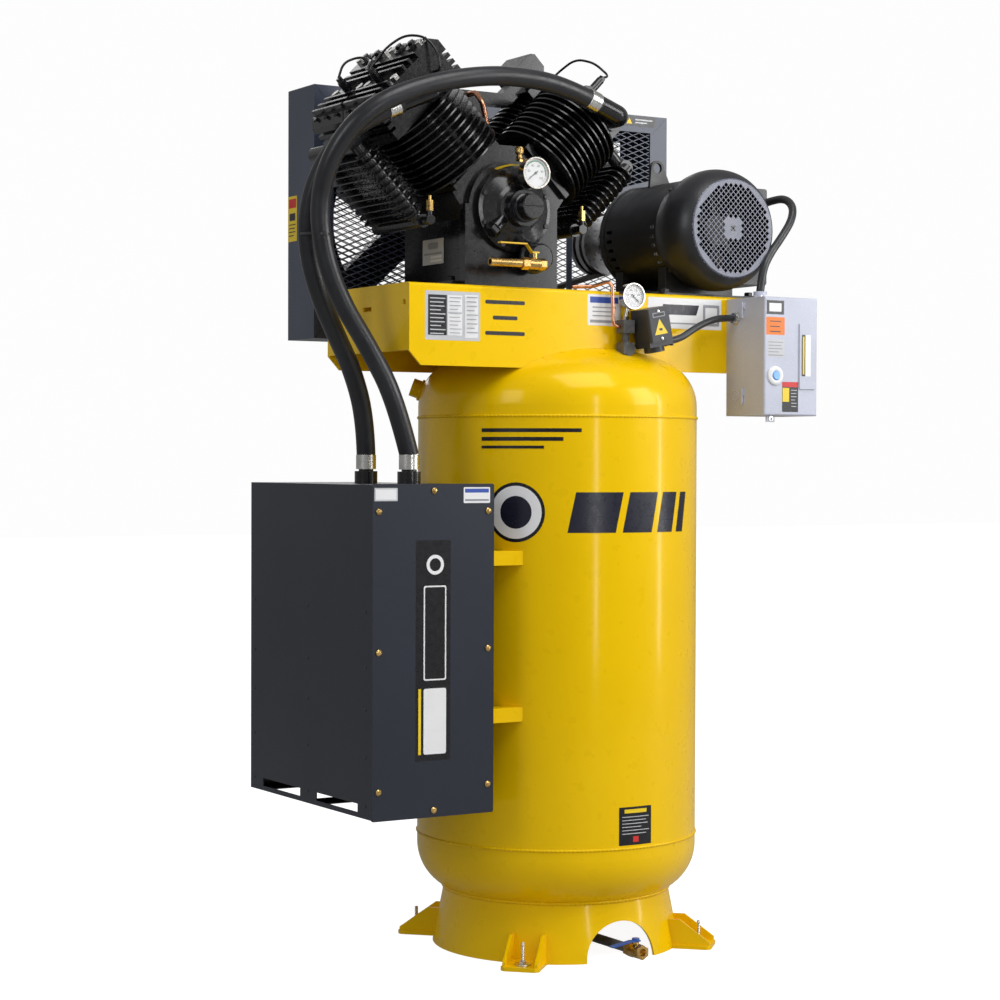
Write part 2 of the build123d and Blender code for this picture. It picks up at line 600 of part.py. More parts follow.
def low_front_head():
    """The shallow head on the right front cylinder, under its pilot valve."""
    y0, y1 = HEAD_SPAN[FRONT_Y]
    head = bank_block(-66, 60, y0 + 8, y1, HEAD_L, RIGHT_TOP_L[FRONT_Y])
    return chamfer([e for e in head.edges().filter_by(Axis.Y) if bank_l(e) > HEAD_L + 10], 10)


def low_rear_head():
    """The shallow head on the right rear cylinder, with ribs that rise outwards."""
    y0, y1 = HEAD_SPAN[REAR_Y]
    head = bank_block(-HEAD_HALF, 96, y0, y1, HEAD_L, RIGHT_TOP_L[REAR_Y])
    for q, rise in ((-80, 32), (-62, 38), (-44, 44), (-26, 48)):
        head += bank_block(q - 3, q + 3, y0, y0 + 56, RIGHT_TOP_L[REAR_Y], RIGHT_TOP_L[REAR_Y] + rise)
    return head


def cylinder_heads():
    """Tall chambered heads on the left bank and shallow ones on the right bank."""
    left = [to_left(cylinder_head(y)) for y in (FRONT_Y, REAR_Y)]
    return group(left + [low_front_head(), low_rear_head()])


def head_bolts():
    """Hexagon heads at the corners of each cylinder head."""
    left, right = [], []
    for centre, (y0, y1) in HEAD_SPAN.items():
        for y in (y0 + 15, y1 - 15):
            for q, seat in ((-77, HEAD_TOP_L), (18, HEAD_TOP_L - 13)):
                left.append(to_left(right_bank() * hexagon((q, y, seat), (q, y, seat + 8), 10)))
            seat = RIGHT_TOP_L[centre]
            right.append(right_bank() * hexagon((36, y + 3, seat), (36, y + 3, seat + 8), 10))
    return group(left + right)


def unloader_seat(side, y):
    """Height along its bank of the head under a pilot valve."""
    return HEAD_TOP_L - 13 if side < 0 else RIGHT_TOP_L[y]


def unloaders():
    """A pilot valve on each head and the small lines between them."""
    parts = []
    for (side, y), q in UNLOADER_Q.items():
        seat = unloader_seat(side, y)
        top_l = UNLOADER_TOP_L if (side, y) == (1, FRONT_Y) else seat + 38
        base, top = bank_point(side, q, y, seat), bank_point(side, q, y, top_l - 8)
        parts.append(bar(base, top, 9) + hexagon(top, bank_point(side, q, y, top_l), 8))
    for points in unloader_routes():
        parts.append(swept(points, arc_radii(points), 2.6))
    return group(parts)


def unloader_routes():
    """Centre lines of the thin air lines over the heads."""
    left_front, left_rear, right_front = (
        Vector(*bank_point(side, UNLOADER_Q[side, y], y, UNLOADER_TOP_L))
        for side, y in ((-1, FRONT_Y), (-1, REAR_Y), (1, FRONT_Y))
    )
    loop = [left_rear.to_tuple(), (-493, 70, 1886), (-468, 42, 1897), (-462, 6, 1884), (-480, -24, 1874),
            (left_front + Vector(0, 14, 0)).to_tuple(), (left_front + Vector(0, 2, 0)).to_tuple()]
    hook = [(left_front + Vector(1, -2, 1)).to_tuple(), (-478, -92, 1896), (-448, -118, 1920), (-414, -142, 1916),
            (-394, -158, 1884), (-390, -160, 1848), (-390, HEAD_SPAN[FRONT_Y][0], 1848)]
    arch = [right_front.to_tuple(), (98, -52, 1893), (80, -22, 1924), (64, 12, 1935), (60, 40, 1934),
            bank_point(1, -64, 80, 414), bank_point(1, -64, 80, RIGHT_TOP_L[REAR_Y])]
    return loop, hook, arch


def discharge_manifold():
    """Cast block between the banks that joins the small cylinders, with its flange on the right rear head."""
    flange = bank_block(-HEAD_HALF - 50, -HEAD_HALF, 20, 120, 300, 362)
    flange = chamfer(flange.edges().filter_by(Axis.Y), 8)
    arm = bank_block(-HEAD_HALF - 30, -HEAD_HALF, 32, 68, 242, 330)
    bridge = block(CRANK_X - 90, CRANK_X + 90, 32, 68, CRANK_Z + 246, CRANK_Z + 272)
    drop = block(CRANK_X - 22, CRANK_X + 22, 14, 68, CRANK_Z + 182, CRANK_Z + 250)
    return flange + arm + to_left(arm) + bridge + drop


def piston(y, side):
    """A piston and its rod at mid-stroke; the rod ends above the crankpin's circle."""
    radius = BORE[y] - 0.08
    crown = bank_bar(0, y, 186, 244, radius) - bank_bar(0, y, 180, 226, radius - 9)
    crown -= bank_block(-10, 10, y - 10, y + 10, 180, 226)
    pin = right_bank() * bar((0, y - radius + 9.5, 206), (0, y + radius - 9.5, 206), 8)
    shank = bank_block(-6, 6, y - 7, y + 7, 100, 200) + right_bank() * bar((0, y - 7, 206), (0, y + 7, 206), 15)
    shank += bank_block(-22, 22, y - 9, y + 9, 88, 102)
    body = crown + pin + (shank - bank_block(-40, 40, y - 40, y + 40, 226, 300))
    return body if side == 1 else to_left(body)


def intercooler():
    """Two tubes with shared oblong fins between a lower and an upper header, outside the right bank."""
    q, y0, y1 = COOLER_Q, COOLER_FRONT, COOLER_BACK
    body = right_bank() * bar((q, y0 - 16, 112), (q, y1 + 20, 112), 14)
    body += right_bank() * bar((q, y0 + 4, 320), (q, y1 + 24, 320), 17)
    for y in (y0, y1):
        body += bank_bar(q, y, 112, 320, 13)
    for y in (FRONT_Y + 20, REAR_Y):
        body += right_bank() * bar((HEAD_HALF, y, 320), (q, y, 320), 14)
    outline = Pos(q, (y0 + y1) / 2) * SlotOverall(y1 - y0 + 50, 50, rotation=90)
    count = 11
    pitch = (298 - 138) / (count - 1)
    for index in range(count):
        along = 138 + index * pitch
        body += right_bank() * (Pos(0, 0, along) * extrude(outline, amount=2.5))
    return body


def intercoolers():
    """One intercooler outside each bank."""
    right = intercooler()
    return group([right, to_left(right)])


def relief_valves():
    """Brass safety valves standing on the front of the lower intercooler headers."""
    parts = []
    for side in (-1, 1):
        x, _, z = bank_point(side, COOLER_Q, 0, 112)
        y = COOLER_FRONT - 16
        stem = bar((x, y, z), (x, y - 22, z), 9) + hexagon((x, y - 20, z), (x, y - 32, z), 11)
        stem += bar((x, y - 26, z), (x, y - 26, z + 18), 6) + hexagon((x, y - 26, z + 18), (x, y - 26, z + 40), 8)
        parts.append(stem + bar((x, y - 26, z + 40), (x, y - 26, z + 50), 3.5))
    return group(parts)


def intake_route(hose, reach):
    """On from a hose's end in its own direction, then straight back to the head's front face."""
    before, end = Vector(*hose[-2]), Vector(*hose[-1])
    corner = end + (end - before).normalized() * reach
    face = HEAD_SPAN[FRONT_Y][0] - INTAKE_FLANGE
    return [end.to_tuple(), corner.to_tuple(), (corner.X, face, corner.Z)]


def intake_bend(hose, reach, bend_r, pipe_r, flange_r):
    """A pipe bend and its flange on a front head."""
    route = intake_route(hose, reach)
    x, y, z = route[-1]
    return swept(route, [bend_r], pipe_r) + bar((x, y, z), (x, y + INTAKE_FLANGE, z), flange_r)


def hose_fittings():
    """Hose tails on the silencer's lid, and pipe bends from the hoses into the front heads."""
    left = intake_bend(LEFT_HOSE, INTAKE_LEFT_REACH, 18, 17, 22)
    right = intake_bend(RIGHT_HOSE, INTAKE_RIGHT_REACH, 21, 20, 26)
    return group(hose_nipples() + [left, right])


def copper_tubes():
    """Crankcase vent, discharge line down to the tank, and the pilot line to the pressure switch."""
    case_top = CRANK_Z + (DECK_L + 75) * BANK
    vent = bar((CRANK_X, -38, case_top), (CRANK_X, -38, case_top + 16), 8)
    vent_route = [(CRANK_X, -38, case_top + 16), (CRANK_X, -38, 1740), (-217, -38, 1812), (-217, -10, 1836),
                  (-217, 32, 1836)]
    vent_pipe = swept(vent_route, [40, 20, 20], 6)
    pilot = [(-60, -150, 1420), (-14, -160, 1422), (8, -200, 1434), (8, -205, 1336), (26, -205, 1336)]
    pilot_tube = swept(pilot, [24, 14, 12], 4)
    return group([vent, vent_pipe, pilot_tube])


# ---- Drive and guard ----
def flywheel():
    """Grooved flywheel with five broad spokes."""
    y0, y1 = FLY_Y0, FLY_Y1
    rim = tube((CRANK_X, y0, CRANK_Z), (CRANK_X, y1, CRANK_Z), FLY_R, FLY_R - 24)
    hub = tube((CRANK_X, y0 - 6, CRANK_Z), (CRANK_X, y1 + 6, CRANK_Z), 46, JOURNAL_R)
    wheel = rim + hub
    for index in range(5):
        spoke = block(30, FLY_R - 20, y0 + 16, y1 - 16, -38, 38)
        wheel += Pos(CRANK_X, 0, CRANK_Z) * (Rot(0, 72 * index + 66, 0) * spoke)
    wheel -= bar((CRANK_X, y0, CRANK_Z), (CRANK_X, y1, CRANK_Z), JOURNAL_R)
    return wheel - grooves(CRANK_X, CRANK_Z, FLY_R)


def grooves(x, z, radius):
    """The belt grooves of a pulley."""
    cuts = []
    for y in GROOVE_YS:
        y0, y1 = y - GROOVE_W / 2, y + GROOVE_W / 2
        cuts.append(tube((x, y0, z), (x, y1, z), radius + 5, radius - GROOVE_DEPTH))
    return Compound(children=cuts)


def motor_pulley():
    """Small two-groove pulley on the motor shaft."""
    wheel = tube((MOTOR_X, FLY_Y0, MOTOR_Z), (MOTOR_X, FLY_Y1, MOTOR_Z), PULLEY_R, 17)
    return wheel - grooves(MOTOR_X, MOTOR_Z, PULLEY_R)


def belt_loop(y, lift):
    """The region inside a belt's outline at a height above the groove floors."""
    big, small = FLY_R - GROOVE_DEPTH + lift, PULLEY_R - GROOVE_DEPTH + lift
    start, end = Vector(CRANK_X, CRANK_Z), Vector(MOTOR_X, MOTOR_Z)
    run = end - start
    heading = math.atan2(run.Y, run.X)
    spread = math.acos((big - small) / run.length)
    corners = []
    for sign in (1, -1):
        normal = heading + sign * spread
        corners.append((start + Vector(math.cos(normal), math.sin(normal)) * big,
                        end + Vector(math.cos(normal), math.sin(normal)) * small))
    (top_big, top_small), (low_big, low_small) = corners
    web = make_face(Polyline(top_big, top_small, low_small, low_big, close=True))
    region = web + Pos(start.X, start.Y) * Circle(big) + Pos(end.X, end.Y) * Circle(small)
    return Pos(0, y + BELT_W / 2, 0) * extrude(Plane.XZ * region, amount=BELT_W)


def belts():
    """Two V-belts, drawn in place round both pulleys."""
    return group([belt_loop(y, BELT_LIFT + 11) - belt_loop(y, BELT_LIFT) for y in GROOVE_YS])


def guard_outline(grow):
    """The guard's front opening line; grow moves it outwards."""
    return [(GUARD_X0 + 48 - grow, GUARD_Z0 + 50 - grow), (GUARD_X0 + 48 - grow, GUARD_Z1 - 40 + grow),
            (GUARD_X1 - 48 + grow, GUARD_Z1 - 40 + grow), (GUARD_X1 - 48 + grow, 1716 - grow),
            (185 - grow, 1655 - grow), (185 - grow, GUARD_Z0 + 50 - grow)]


def guard_frame():
    """Front half of the belt guard: a folded border with side walls, cut away round the motor."""
    t = 2.0
    outer = block(GUARD_X0, GUARD_X1, GUARD_Y0, GUARD_Y1 - 3, GUARD_Z0, GUARD_Z1)
    inner = block(GUARD_X0 + t, GUARD_X1 - t, GUARD_Y0 + t, GUARD_Y1, GUARD_Z0 + t, GUARD_Z1 - t)
    tray = outer - inner
    window = extrude(Plane.XZ * make_face(Polyline(*guard_outline(0), close=True)), amount=-(GUARD_Y0 + t + 1))
    notch = Polyline((200, GUARD_Z0 - 1), (200, 1640), (GUARD_X1 - 6, 1702), (GUARD_X1 - 6, GUARD_Z0 - 1), close=True)
    motor_gap = extrude(Plane.XZ * make_face(notch), amount=-(GUARD_Y0 + t + 1))
    tray = tray - window - motor_gap
    for x in (-300, 300):
        tray += block(x - 20, x + 20, PLAT_Y, GUARD_Y0, 1340, 1344) + block(x - 20, x + 20, PLAT_Y, PLAT_Y + 4, 1340, 1380)
        tray += block(x - 20, x + 20, GUARD_Y0 - 4, GUARD_Y0, 1340, 1366)
    return tray


def guard_mesh():
    """Flat panel of expanded metal behind the guard's front opening."""
    panel = extrude(Plane.XZ * make_face(Polyline(*guard_outline(12), close=True)), amount=-1.5)
    return Pos(0, GUARD_Y0 + 2.2, 0) * panel - block(185, 500, 200, 300, GUARD_Z0, 1650) \
        - block(GUARD_X1 - 3, 500, 200, 300, GUARD_Z0, GUARD_Z1) \
        - bar((CRANK_X, 200, CRANK_Z), (CRANK_X, 300, CRANK_Z), JOURNAL_R + 8)


def guard_back():
    """Rear sheet of the belt guard."""
    return block(GUARD_X0, GUARD_X1, GUARD_Y1 - 3, GUARD_Y1, GUARD_Z0, GUARD_Z1)


# ---- Motor ----
def motor_shell():
    """Rolled steel body with vent slots low on its left at both ends."""
    shell = tube((MOTOR_X, MOTOR_Y0, MOTOR_Z), (MOTOR_X, MOTOR_Y1, MOTOR_Z), MOTOR_R, MOTOR_R - 6)
    eye = Polyline((EYE_X - 17.5, EYE_Z), (EYE_X + 17.5, EYE_Z), (EYE_X + 42, EYE_Z - 52), (EYE_X - 22, EYE_Z - 52),
                   close=True)
    lug = Pos(0, EYE_Y + 4, 0) * extrude(Plane.XZ * make_face(eye), amount=8)
    lug += bar((EYE_X, EYE_Y - 4, EYE_Z), (EYE_X, EYE_Y + 4, EYE_Z), 17.5)
    lug -= bar((EYE_X, EYE_Y - 6, EYE_Z), (EYE_X, EYE_Y + 6, EYE_Z), 11.5)
    lug -= bar((MOTOR_X, EYE_Y - 10, MOTOR_Z), (MOTOR_X, EYE_Y + 10, MOTOR_Z), MOTOR_R)
    shell += lug
    for index in range(5):
        for y0, y1 in ((MOTOR_Y0 + 12, MOTOR_Y0 + 26), (MOTOR_Y1 - 34, MOTOR_Y1 - 12)):
            slot = block(MOTOR_R - 12, MOTOR_R + 6, y0, y1, -4, 4)
            angle = 180 - 4 + 10 * index
            shell -= Pos(MOTOR_X, 0, MOTOR_Z) * (Rot(0, -angle, 0) * slot)
            shell -= Pos(MOTOR_X, 0, MOTOR_Z) * (Rot(0, angle - 180, 0) * slot)
    return shell


def motor_fan_cover():
    """Bell-shaped cover with a crossed grille."""
    y0 = MOTOR_Y0
    outer = [(MOTOR_R - 6, y0), (MOTOR_R + 3, y0), (127, y0 - 14), (132, y0 - 34), (COVER_R, y0 - 56),
             (132, y0 - 76), (126, y0 - 95), (117, y0 - 109), (GRILLE_R, GRILLE_Y)]
    inner = [(GRILLE_R - 3, GRILLE_Y + 3), (114, y0 - 106), (122.6, y0 - 93), (128.6, y0 - 75), (130.8, y0 - 56),
             (128.8, y0 - 34), (123.6, y0 - 13), (MOTOR_R - 6, y0 - 4)]
    outline = Spline(*outer[1:]) + Polyline(outer[-1], (GRILLE_R - GRILLE_LIP, GRILLE_Y),
                                          (GRILLE_R - GRILLE_LIP, GRILLE_Y + 3), inner[0])
    outline += Spline(*inner) + Polyline(inner[-1], outer[0], outer[1])
    bell = Pos(MOTOR_X, 0, MOTOR_Z) * revolve(make_face(outline), Axis.Y)
    return bell + grille_disc()


def grille_disc():
    """Round plate pierced by a diagonal grid of square holes, solid at its middle and rim."""
    pitch, hole, rim, middle, thick = 9.4, 7.7, GRILLE_R - 10, 24.0, 1.4
    holes = []
    reach = int(GRILLE_R / pitch) + 2
    for row in range(-reach, reach + 1):
        for column in range(-reach, reach + 1):
            x = (row + column + 1) * pitch * BANK
            z = (row - column) * pitch * BANK
            distance = math.hypot(x, z)
            if middle < distance < rim:
                holes.append(Wire(Pos(x, z) * Rectangle(hole, hole, rotation=45).wire()))
    disc = Face(Circle(GRILLE_R - GRILLE_LIP).wire(), holes)
    plate = extrude(disc, amount=thick)
    return Plane(origin=(MOTOR_X, GRILLE_Y + thick, MOTOR_Z), x_dir=(1, 0, 0), z_dir=(0, -1, 0)) * plate


def motor_end_bell():
    """Cast rear bracket with a shaft hole and vent slots."""
    y = MOTOR_Y1
    bell = turned([(30, y + 30), (30, y + 62), (70, y + 60), (104, y + 44), (MOTOR_R + 2, y + 12), (MOTOR_R + 2, y),
                   (MOTOR_R - 8, y), (MOTOR_R - 12, y + 12), (94, y + 36), (60, y + 46), (44, y + 30)],
                  MOTOR_X, MOTOR_Z)
    for index in range(4):
        slot = block(96, MOTOR_R + 8, y + 14, y + 40, -4, 4)
        bell -= Pos(MOTOR_X, 0, MOTOR_Z) * (Rot(0, -(178 + 12 * index), 0) * slot)
    return bell


def motor_base():
    """Slide plate with two cradles under the motor."""
    base = block(MOTOR_X - 118, MOTOR_X + 140, -118, 128, PLAT_TOP, PLAT_TOP + 9)
    for y in (-72, 96):
        base += block(MOTOR_X - 92, MOTOR_X + 92, y - 14, y + 14, PLAT_TOP + 9, MOTOR_Z - 80)
    base -= bar((MOTOR_X, -130, MOTOR_Z), (MOTOR_X, 140, MOTOR_Z), MOTOR_R)
    for x in (-104, 126):
        for y in (-100, 110):
            base -= bar((MOTOR_X + x, y, PLAT_TOP - 1), (MOTOR_X + x, y, PLAT_TOP + 10), 6)
    return base


def motor_stator():
    """Laminated stator pressed in the shell."""
    return tube((MOTOR_X, -50, MOTOR_Z), (MOTOR_X, 80, MOTOR_Z), MOTOR_R - 6, 70)


def motor_rotor():
    """Rotor core, shaft and the cooling fan behind the grille."""
    rotor = bar((MOTOR_X, -150, MOTOR_Z), (MOTOR_X, FLY_Y1 + 8, MOTOR_Z), 17)
    rotor += bar((MOTOR_X, -50, MOTOR_Z), (MOTOR_X, 80, MOTOR_Z), 69)
    rotor += bar((MOTOR_X, -150, MOTOR_Z), (MOTOR_X, -122, MOTOR_Z), 34)
    for index in range(7):
        blade = block(20, 112, -150, -118, -2, 2)
        rotor += Pos(MOTOR_X, 0, MOTOR_Z) * (Rot(0, 360 / 7 * index, 0) * blade)
    return rotor


def motor_terminal_box():
    """Wiring box on the motor's right side."""
    side, wall = 521, 3
    box = block(MOTOR_X + 100, side, -70, 60, 1452, 1671) - bar((MOTOR_X, -80, MOTOR_Z), (MOTOR_X, 70, MOTOR_Z), MOTOR_R)
    box -= block(MOTOR_X + 140, side - wall, -70 + wall, 60 - wall, 1452 + wall, 1671 - wall)
    return fillet([e for e in box.edges().filter_by(Axis.Y) if e.center().X > side - 2], 6)


# ---- Starter ----
def starter_box():
    """Back half of the starter enclosure, with its top conduit hub and side cable gland."""
    t = 1.6
    box = block(START_X0, START_X1, START_SEAM, START_BACK, START_Z0, START_Z1)
    box -= block(START_X0 + t, START_X1 - t, START_SEAM - 1, START_BACK - t, START_Z0 + t, START_Z1 - t)
    x, y = CONDUIT[-1][0], CONDUIT[-1][1]
    box += bar((x, y, START_Z1 - 1), (x, y, CONDUIT[-1][2]), 15)
    end = CABLE[-1]
    box += bar(end, (START_X0 + 1, end[1], end[2]), 12)
    for z in (START_Z0 + 24, START_Z1 - 44):
        box += knuckle(z, z + 20, 1)
    return box


def knuckle(z0, z1, side):
    """A hinge barrel and its leaf on the enclosure's left side; side is 1 behind the seam, -1 in front."""
    y0, y1 = sorted((START_SEAM, START_SEAM + side * 6))
    return bar((HINGE_X, START_SEAM, z0), (HINGE_X, START_SEAM, z1), HINGE_R) \
        + block(HINGE_X, START_X0 + 1, y0, y1, z0, z1)


def starter_cover():
    """Deep hinged cover with a raised panel, a button hole and a hasp tab."""
    t = 1.6
    cover = block(START_X0, START_X1, START_FRONT, START_SEAM, START_Z0, START_Z1)
    cover = fillet([e for e in cover.edges() if e.center().Y < START_FRONT + 1], 4)
    cover -= block(START_X0 + t, START_X1 - t, START_FRONT + t, START_SEAM + 1, START_Z0 + t, START_Z1 - t)
    cover += block(START_X0 + 94, START_X1 - 8, START_FRONT - 3, START_FRONT + t, START_Z0 + 58, START_Z1 - 56)
    cover -= block(START_X0 + 96, START_X1 - 10, START_FRONT - 1, START_FRONT + t + 1, START_Z0 + 60, START_Z1 - 58)
    for z in (START_Z0 + 44.5, START_Z1 - 23.5):
        cover += knuckle(z, z + 15, -1)
    cover += block(START_X0 + 14, START_X0 + 36, START_FRONT + 10, START_FRONT + 13, START_Z0 - 14, START_Z0 + 2)
    button_x, button_z = button_spot()
    cover += tube((button_x, START_FRONT - 4, button_z), (button_x, START_FRONT + 1, button_z), 15, 10)
    return cover - bar((button_x, START_FRONT - 5, button_z), (button_x, START_FRONT + 5, button_z), 10)


def button_spot():
    """Centre of the reset button in the cover's face."""
    return START_X0 + 29, START_Z0 + 86


def reset_button():
    """Push button with a stem behind it."""
    x, z = button_spot()
    y = START_FRONT
    button = turned([(0, y - 7), (8, y - 7), (9.9, y - 5), (9.9, y + 8), (12.5, y + 8), (12.5, y + 11), (0, y + 11)], x, z)
    return button


def contactor():
    """Contactor and overload relay on the starter's back wall."""
    body = block(START_X0 + 40, START_X0 + 100, START_SEAM + 4, START_BACK - 1.6, START_Z0 + 110, START_Z0 + 190)
    relay = block(START_X0 + 44, START_X0 + 96, START_SEAM + 10, START_BACK - 1.6, START_Z0 + 56, START_Z0 + 108)
    return group([body, relay])


# ---- Pressure switch and gauge ----
def switch_frame(shape):
    """Places a switch piece, drawn about its own centre, at its tilt on the riser."""
    return Pos(*SWITCH_AT) * (Rot(0, SWITCH_TILT, 0) * shape)


def switch_base():
    """Die-cast base plate with the diaphragm housing and its neck to the riser's manifold."""
    plate = block(-30, 30, -30, 30, -42, -32)
    drum = bar((0, 0, -42), (0, 0, -54), 22)
    gland = bar((30, 0, -37), (39, 0, -37), 9.5)
    y = RISER[1]
    neck = bar((RISER[0] + 14, y, NECK_Z), (RISER[0] + 24, y, NECK_Z), 5)
    return switch_frame(plate + drum + gland) + neck


def switch_cover():
    """Moulded cover, hollow, with rounded edges."""
    cover = fillet(block(-29, 29, -36, 28, -32, 40).edges().filter_by(Axis.Z), 5)
    cover -= block(-26.5, 26.5, -33.5, 25.5, -33, 37)
    return switch_frame(cover)


def switch_lever():
    """Off/auto lever under the cover's right side."""
    return switch_frame(block(32, 35, -24, -14, -46, -14) + bar((29.4, -19, -20), (35, -19, -20), 5))


def tank_gauge():
    """Dial gauge on a leaning stem above the manifold."""
    x, y, z = GAUGE_X, GAUGE_Y, GAUGE_Z
    case = turned([(0, y + 5), (25.5, y + 5), (25.5, y), (28, y), (28, y + 18), (23, y + 24), (0, y + 24)], x, z)
    case = case.rotate(Axis((x, 0, z), (0, 1, 0)), 40)
    foot = hexagon((RISER[0], RISER[1], 1350), (RISER[0], RISER[1], 1358), 7)
    return case + foot + bar((RISER[0], RISER[1], 1355), (x - 8, RISER[1], z - 20), 4.5)


NODES = {
    "tank_vessel": tank_vessel,
    "tank_skirt": tank_skirt,
    "tank_feet": tank_feet,
    "tank_fittings": tank_fittings,
    "tank_drain_valve": tank_drain_valve,
    "tank_drain_lever": tank_drain_lever,
    "platform": platform,
    "silencer_body": silencer_body,
    "silencer_cover": silencer_cover,
    "silencer_screws": silencer_screws,
    "silencer_filters": silencer_filters,
    "silencer_arms": silencer_arms,
    "crankcase": crankcase,
    "bearing_cover": bearing_cover,
    "oil_filter": oil_filter,
    "oil_gauge": oil_gauge,
    "oil_gauge_pointer": lambda: gauge_pointer(-181, -194.5, 1648, 23, -128),
    "oil_drain_valve": oil_drain_valve,
    "oil_drain_lever": oil_drain_lever,
    "crankshaft": crankshaft,
    "crank_bearings": crank_bearings,
    "cylinders": cylinders,
    "cylinder_heads": cylinder_heads,
    "head_bolts": head_bolts,
    "unloaders": unloaders,
    "discharge_manifold": discharge_manifold,
    "front_left_piston": lambda: piston(FRONT_Y, -1),
    "front_right_piston": lambda: piston(FRONT_Y, 1),
    "rear_left_piston": lambda: piston(REAR_Y, -1),
    "rear_right_piston": lambda: piston(REAR_Y, 1),
    "intercoolers": intercoolers,
    "relief_valves": relief_valves,
    "hose_fittings": hose_fittings,
    "copper_tubes": copper_tubes,
    "flywheel": flywheel,
    "belts": belts,
    "motor_pulley": motor_pulley,
    "guard_frame": guard_frame,
    "guard_mesh": guard_mesh,
    "guard_back": guard_back,
    "motor_shell": motor_shell,
    "motor_fan_cover": motor_fan_cover,
    "motor_end_bell": motor_end_bell,
    "motor_base": motor_base,
    "motor_stator": motor_stator,
    "motor_rotor": motor_rotor,
    "motor_terminal_box": motor_terminal_box,
    "starter_box": starter_box,
    "starter_cover": starter_cover,
    "reset_button": reset_button,
    "contactor": contactor,
    "switch_base": switch_base,
    "switch_cover": switch_cover,
    "switch_lever": switch_lever,
    "tank_gauge": tank_gauge,
    "tank_gauge_pointer": lambda: gauge_pointer(GAUGE_X, GAUGE_Y + 4.5, GAUGE_Z, 19, 130),
    "left_intake_hose": lambda: cord("left hose", LEFT_HOSE, HOSE_R),
    "right_intake_hose": lambda: cord("right hose", RIGHT_HOSE, HOSE_R),
    "motor_conduit": lambda: cord("conduit", CONDUIT, CONDUIT_R),
    "switch_cable": lambda: cord("cable", CABLE, CABLE_R),
}

os.makedirs("parts", exist_ok=True)
for node, make in NODES.items():
    export_step(make(), f"parts/{node}.step")
print(len(NODES), "nodes")
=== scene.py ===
"""Looks of the vertical tank compressor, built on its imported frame.

Every point below is in millimetres in the frame's own axes: +X towards the motor, +Y towards the
belt guard, +Z up, origin on the floor under the tank's axis. Meshes are scaled to metres once.
"""
import json
import math

import bmesh
import bpy
from mathutils import Matrix, Vector


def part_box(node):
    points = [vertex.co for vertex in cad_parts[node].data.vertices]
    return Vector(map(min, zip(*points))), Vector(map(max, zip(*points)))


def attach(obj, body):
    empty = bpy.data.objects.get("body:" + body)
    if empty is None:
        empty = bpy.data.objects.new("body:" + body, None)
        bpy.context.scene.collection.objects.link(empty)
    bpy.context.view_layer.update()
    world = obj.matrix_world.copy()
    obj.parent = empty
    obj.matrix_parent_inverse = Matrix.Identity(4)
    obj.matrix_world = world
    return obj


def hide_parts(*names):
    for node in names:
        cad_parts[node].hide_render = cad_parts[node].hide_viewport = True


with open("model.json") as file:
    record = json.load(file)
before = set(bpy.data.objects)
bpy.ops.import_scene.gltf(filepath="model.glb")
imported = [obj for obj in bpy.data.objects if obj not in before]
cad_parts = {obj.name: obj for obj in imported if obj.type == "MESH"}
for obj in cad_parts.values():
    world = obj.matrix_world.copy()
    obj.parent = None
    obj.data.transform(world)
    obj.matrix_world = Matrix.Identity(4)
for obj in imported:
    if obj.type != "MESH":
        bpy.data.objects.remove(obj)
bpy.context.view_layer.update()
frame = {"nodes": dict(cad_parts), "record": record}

MM = 0.001
ROOT = "frame"
CRANK = Vector((-199.0, 0.0, 1576.0))
MOTOR = Vector((320.0, 0.0, 1560.0))
TANK_R = 304.8
BANK = math.sqrt(0.5)
WELD_ZS = (1144.0, 243.0)
BOLT_CIRCLE_R = 317.5
APRON_Y = -180.0
SILENCER_Y = -246.0
STARTER_Y = -315.0
STARTER_PANEL_Y = -318.0


# ---- Camera ----
def place_camera():
    """A long lens to the left of the machine, a little above half its height."""
    yaw, pitch, roll = math.radians(31.492), math.radians(0.999), math.radians(0.192)
    forward = Vector((math.sin(yaw) * math.cos(pitch), math.cos(yaw) * math.cos(pitch), -math.sin(pitch)))
    level = Vector((math.cos(yaw), -math.sin(yaw), 0))
    above = level.cross(forward)
    right = level * math.cos(roll) + above * math.sin(roll)
    up = right.cross(forward)
    turn = Matrix((right, up, -forward)).transposed().to_4x4()
    camera = bpy.data.objects.new("camera", bpy.data.cameras.new("camera"))
    bpy.context.scene.collection.objects.link(camera)
    camera.matrix_world = Matrix.Translation(Vector((-2755.7, -4282.6, 1053.1)) * MM) @ turn
    camera.data.lens = 83.56
    camera.data.shift_x = -0.0056
    camera.data.clip_end = 60
    bpy.context.scene.camera = camera


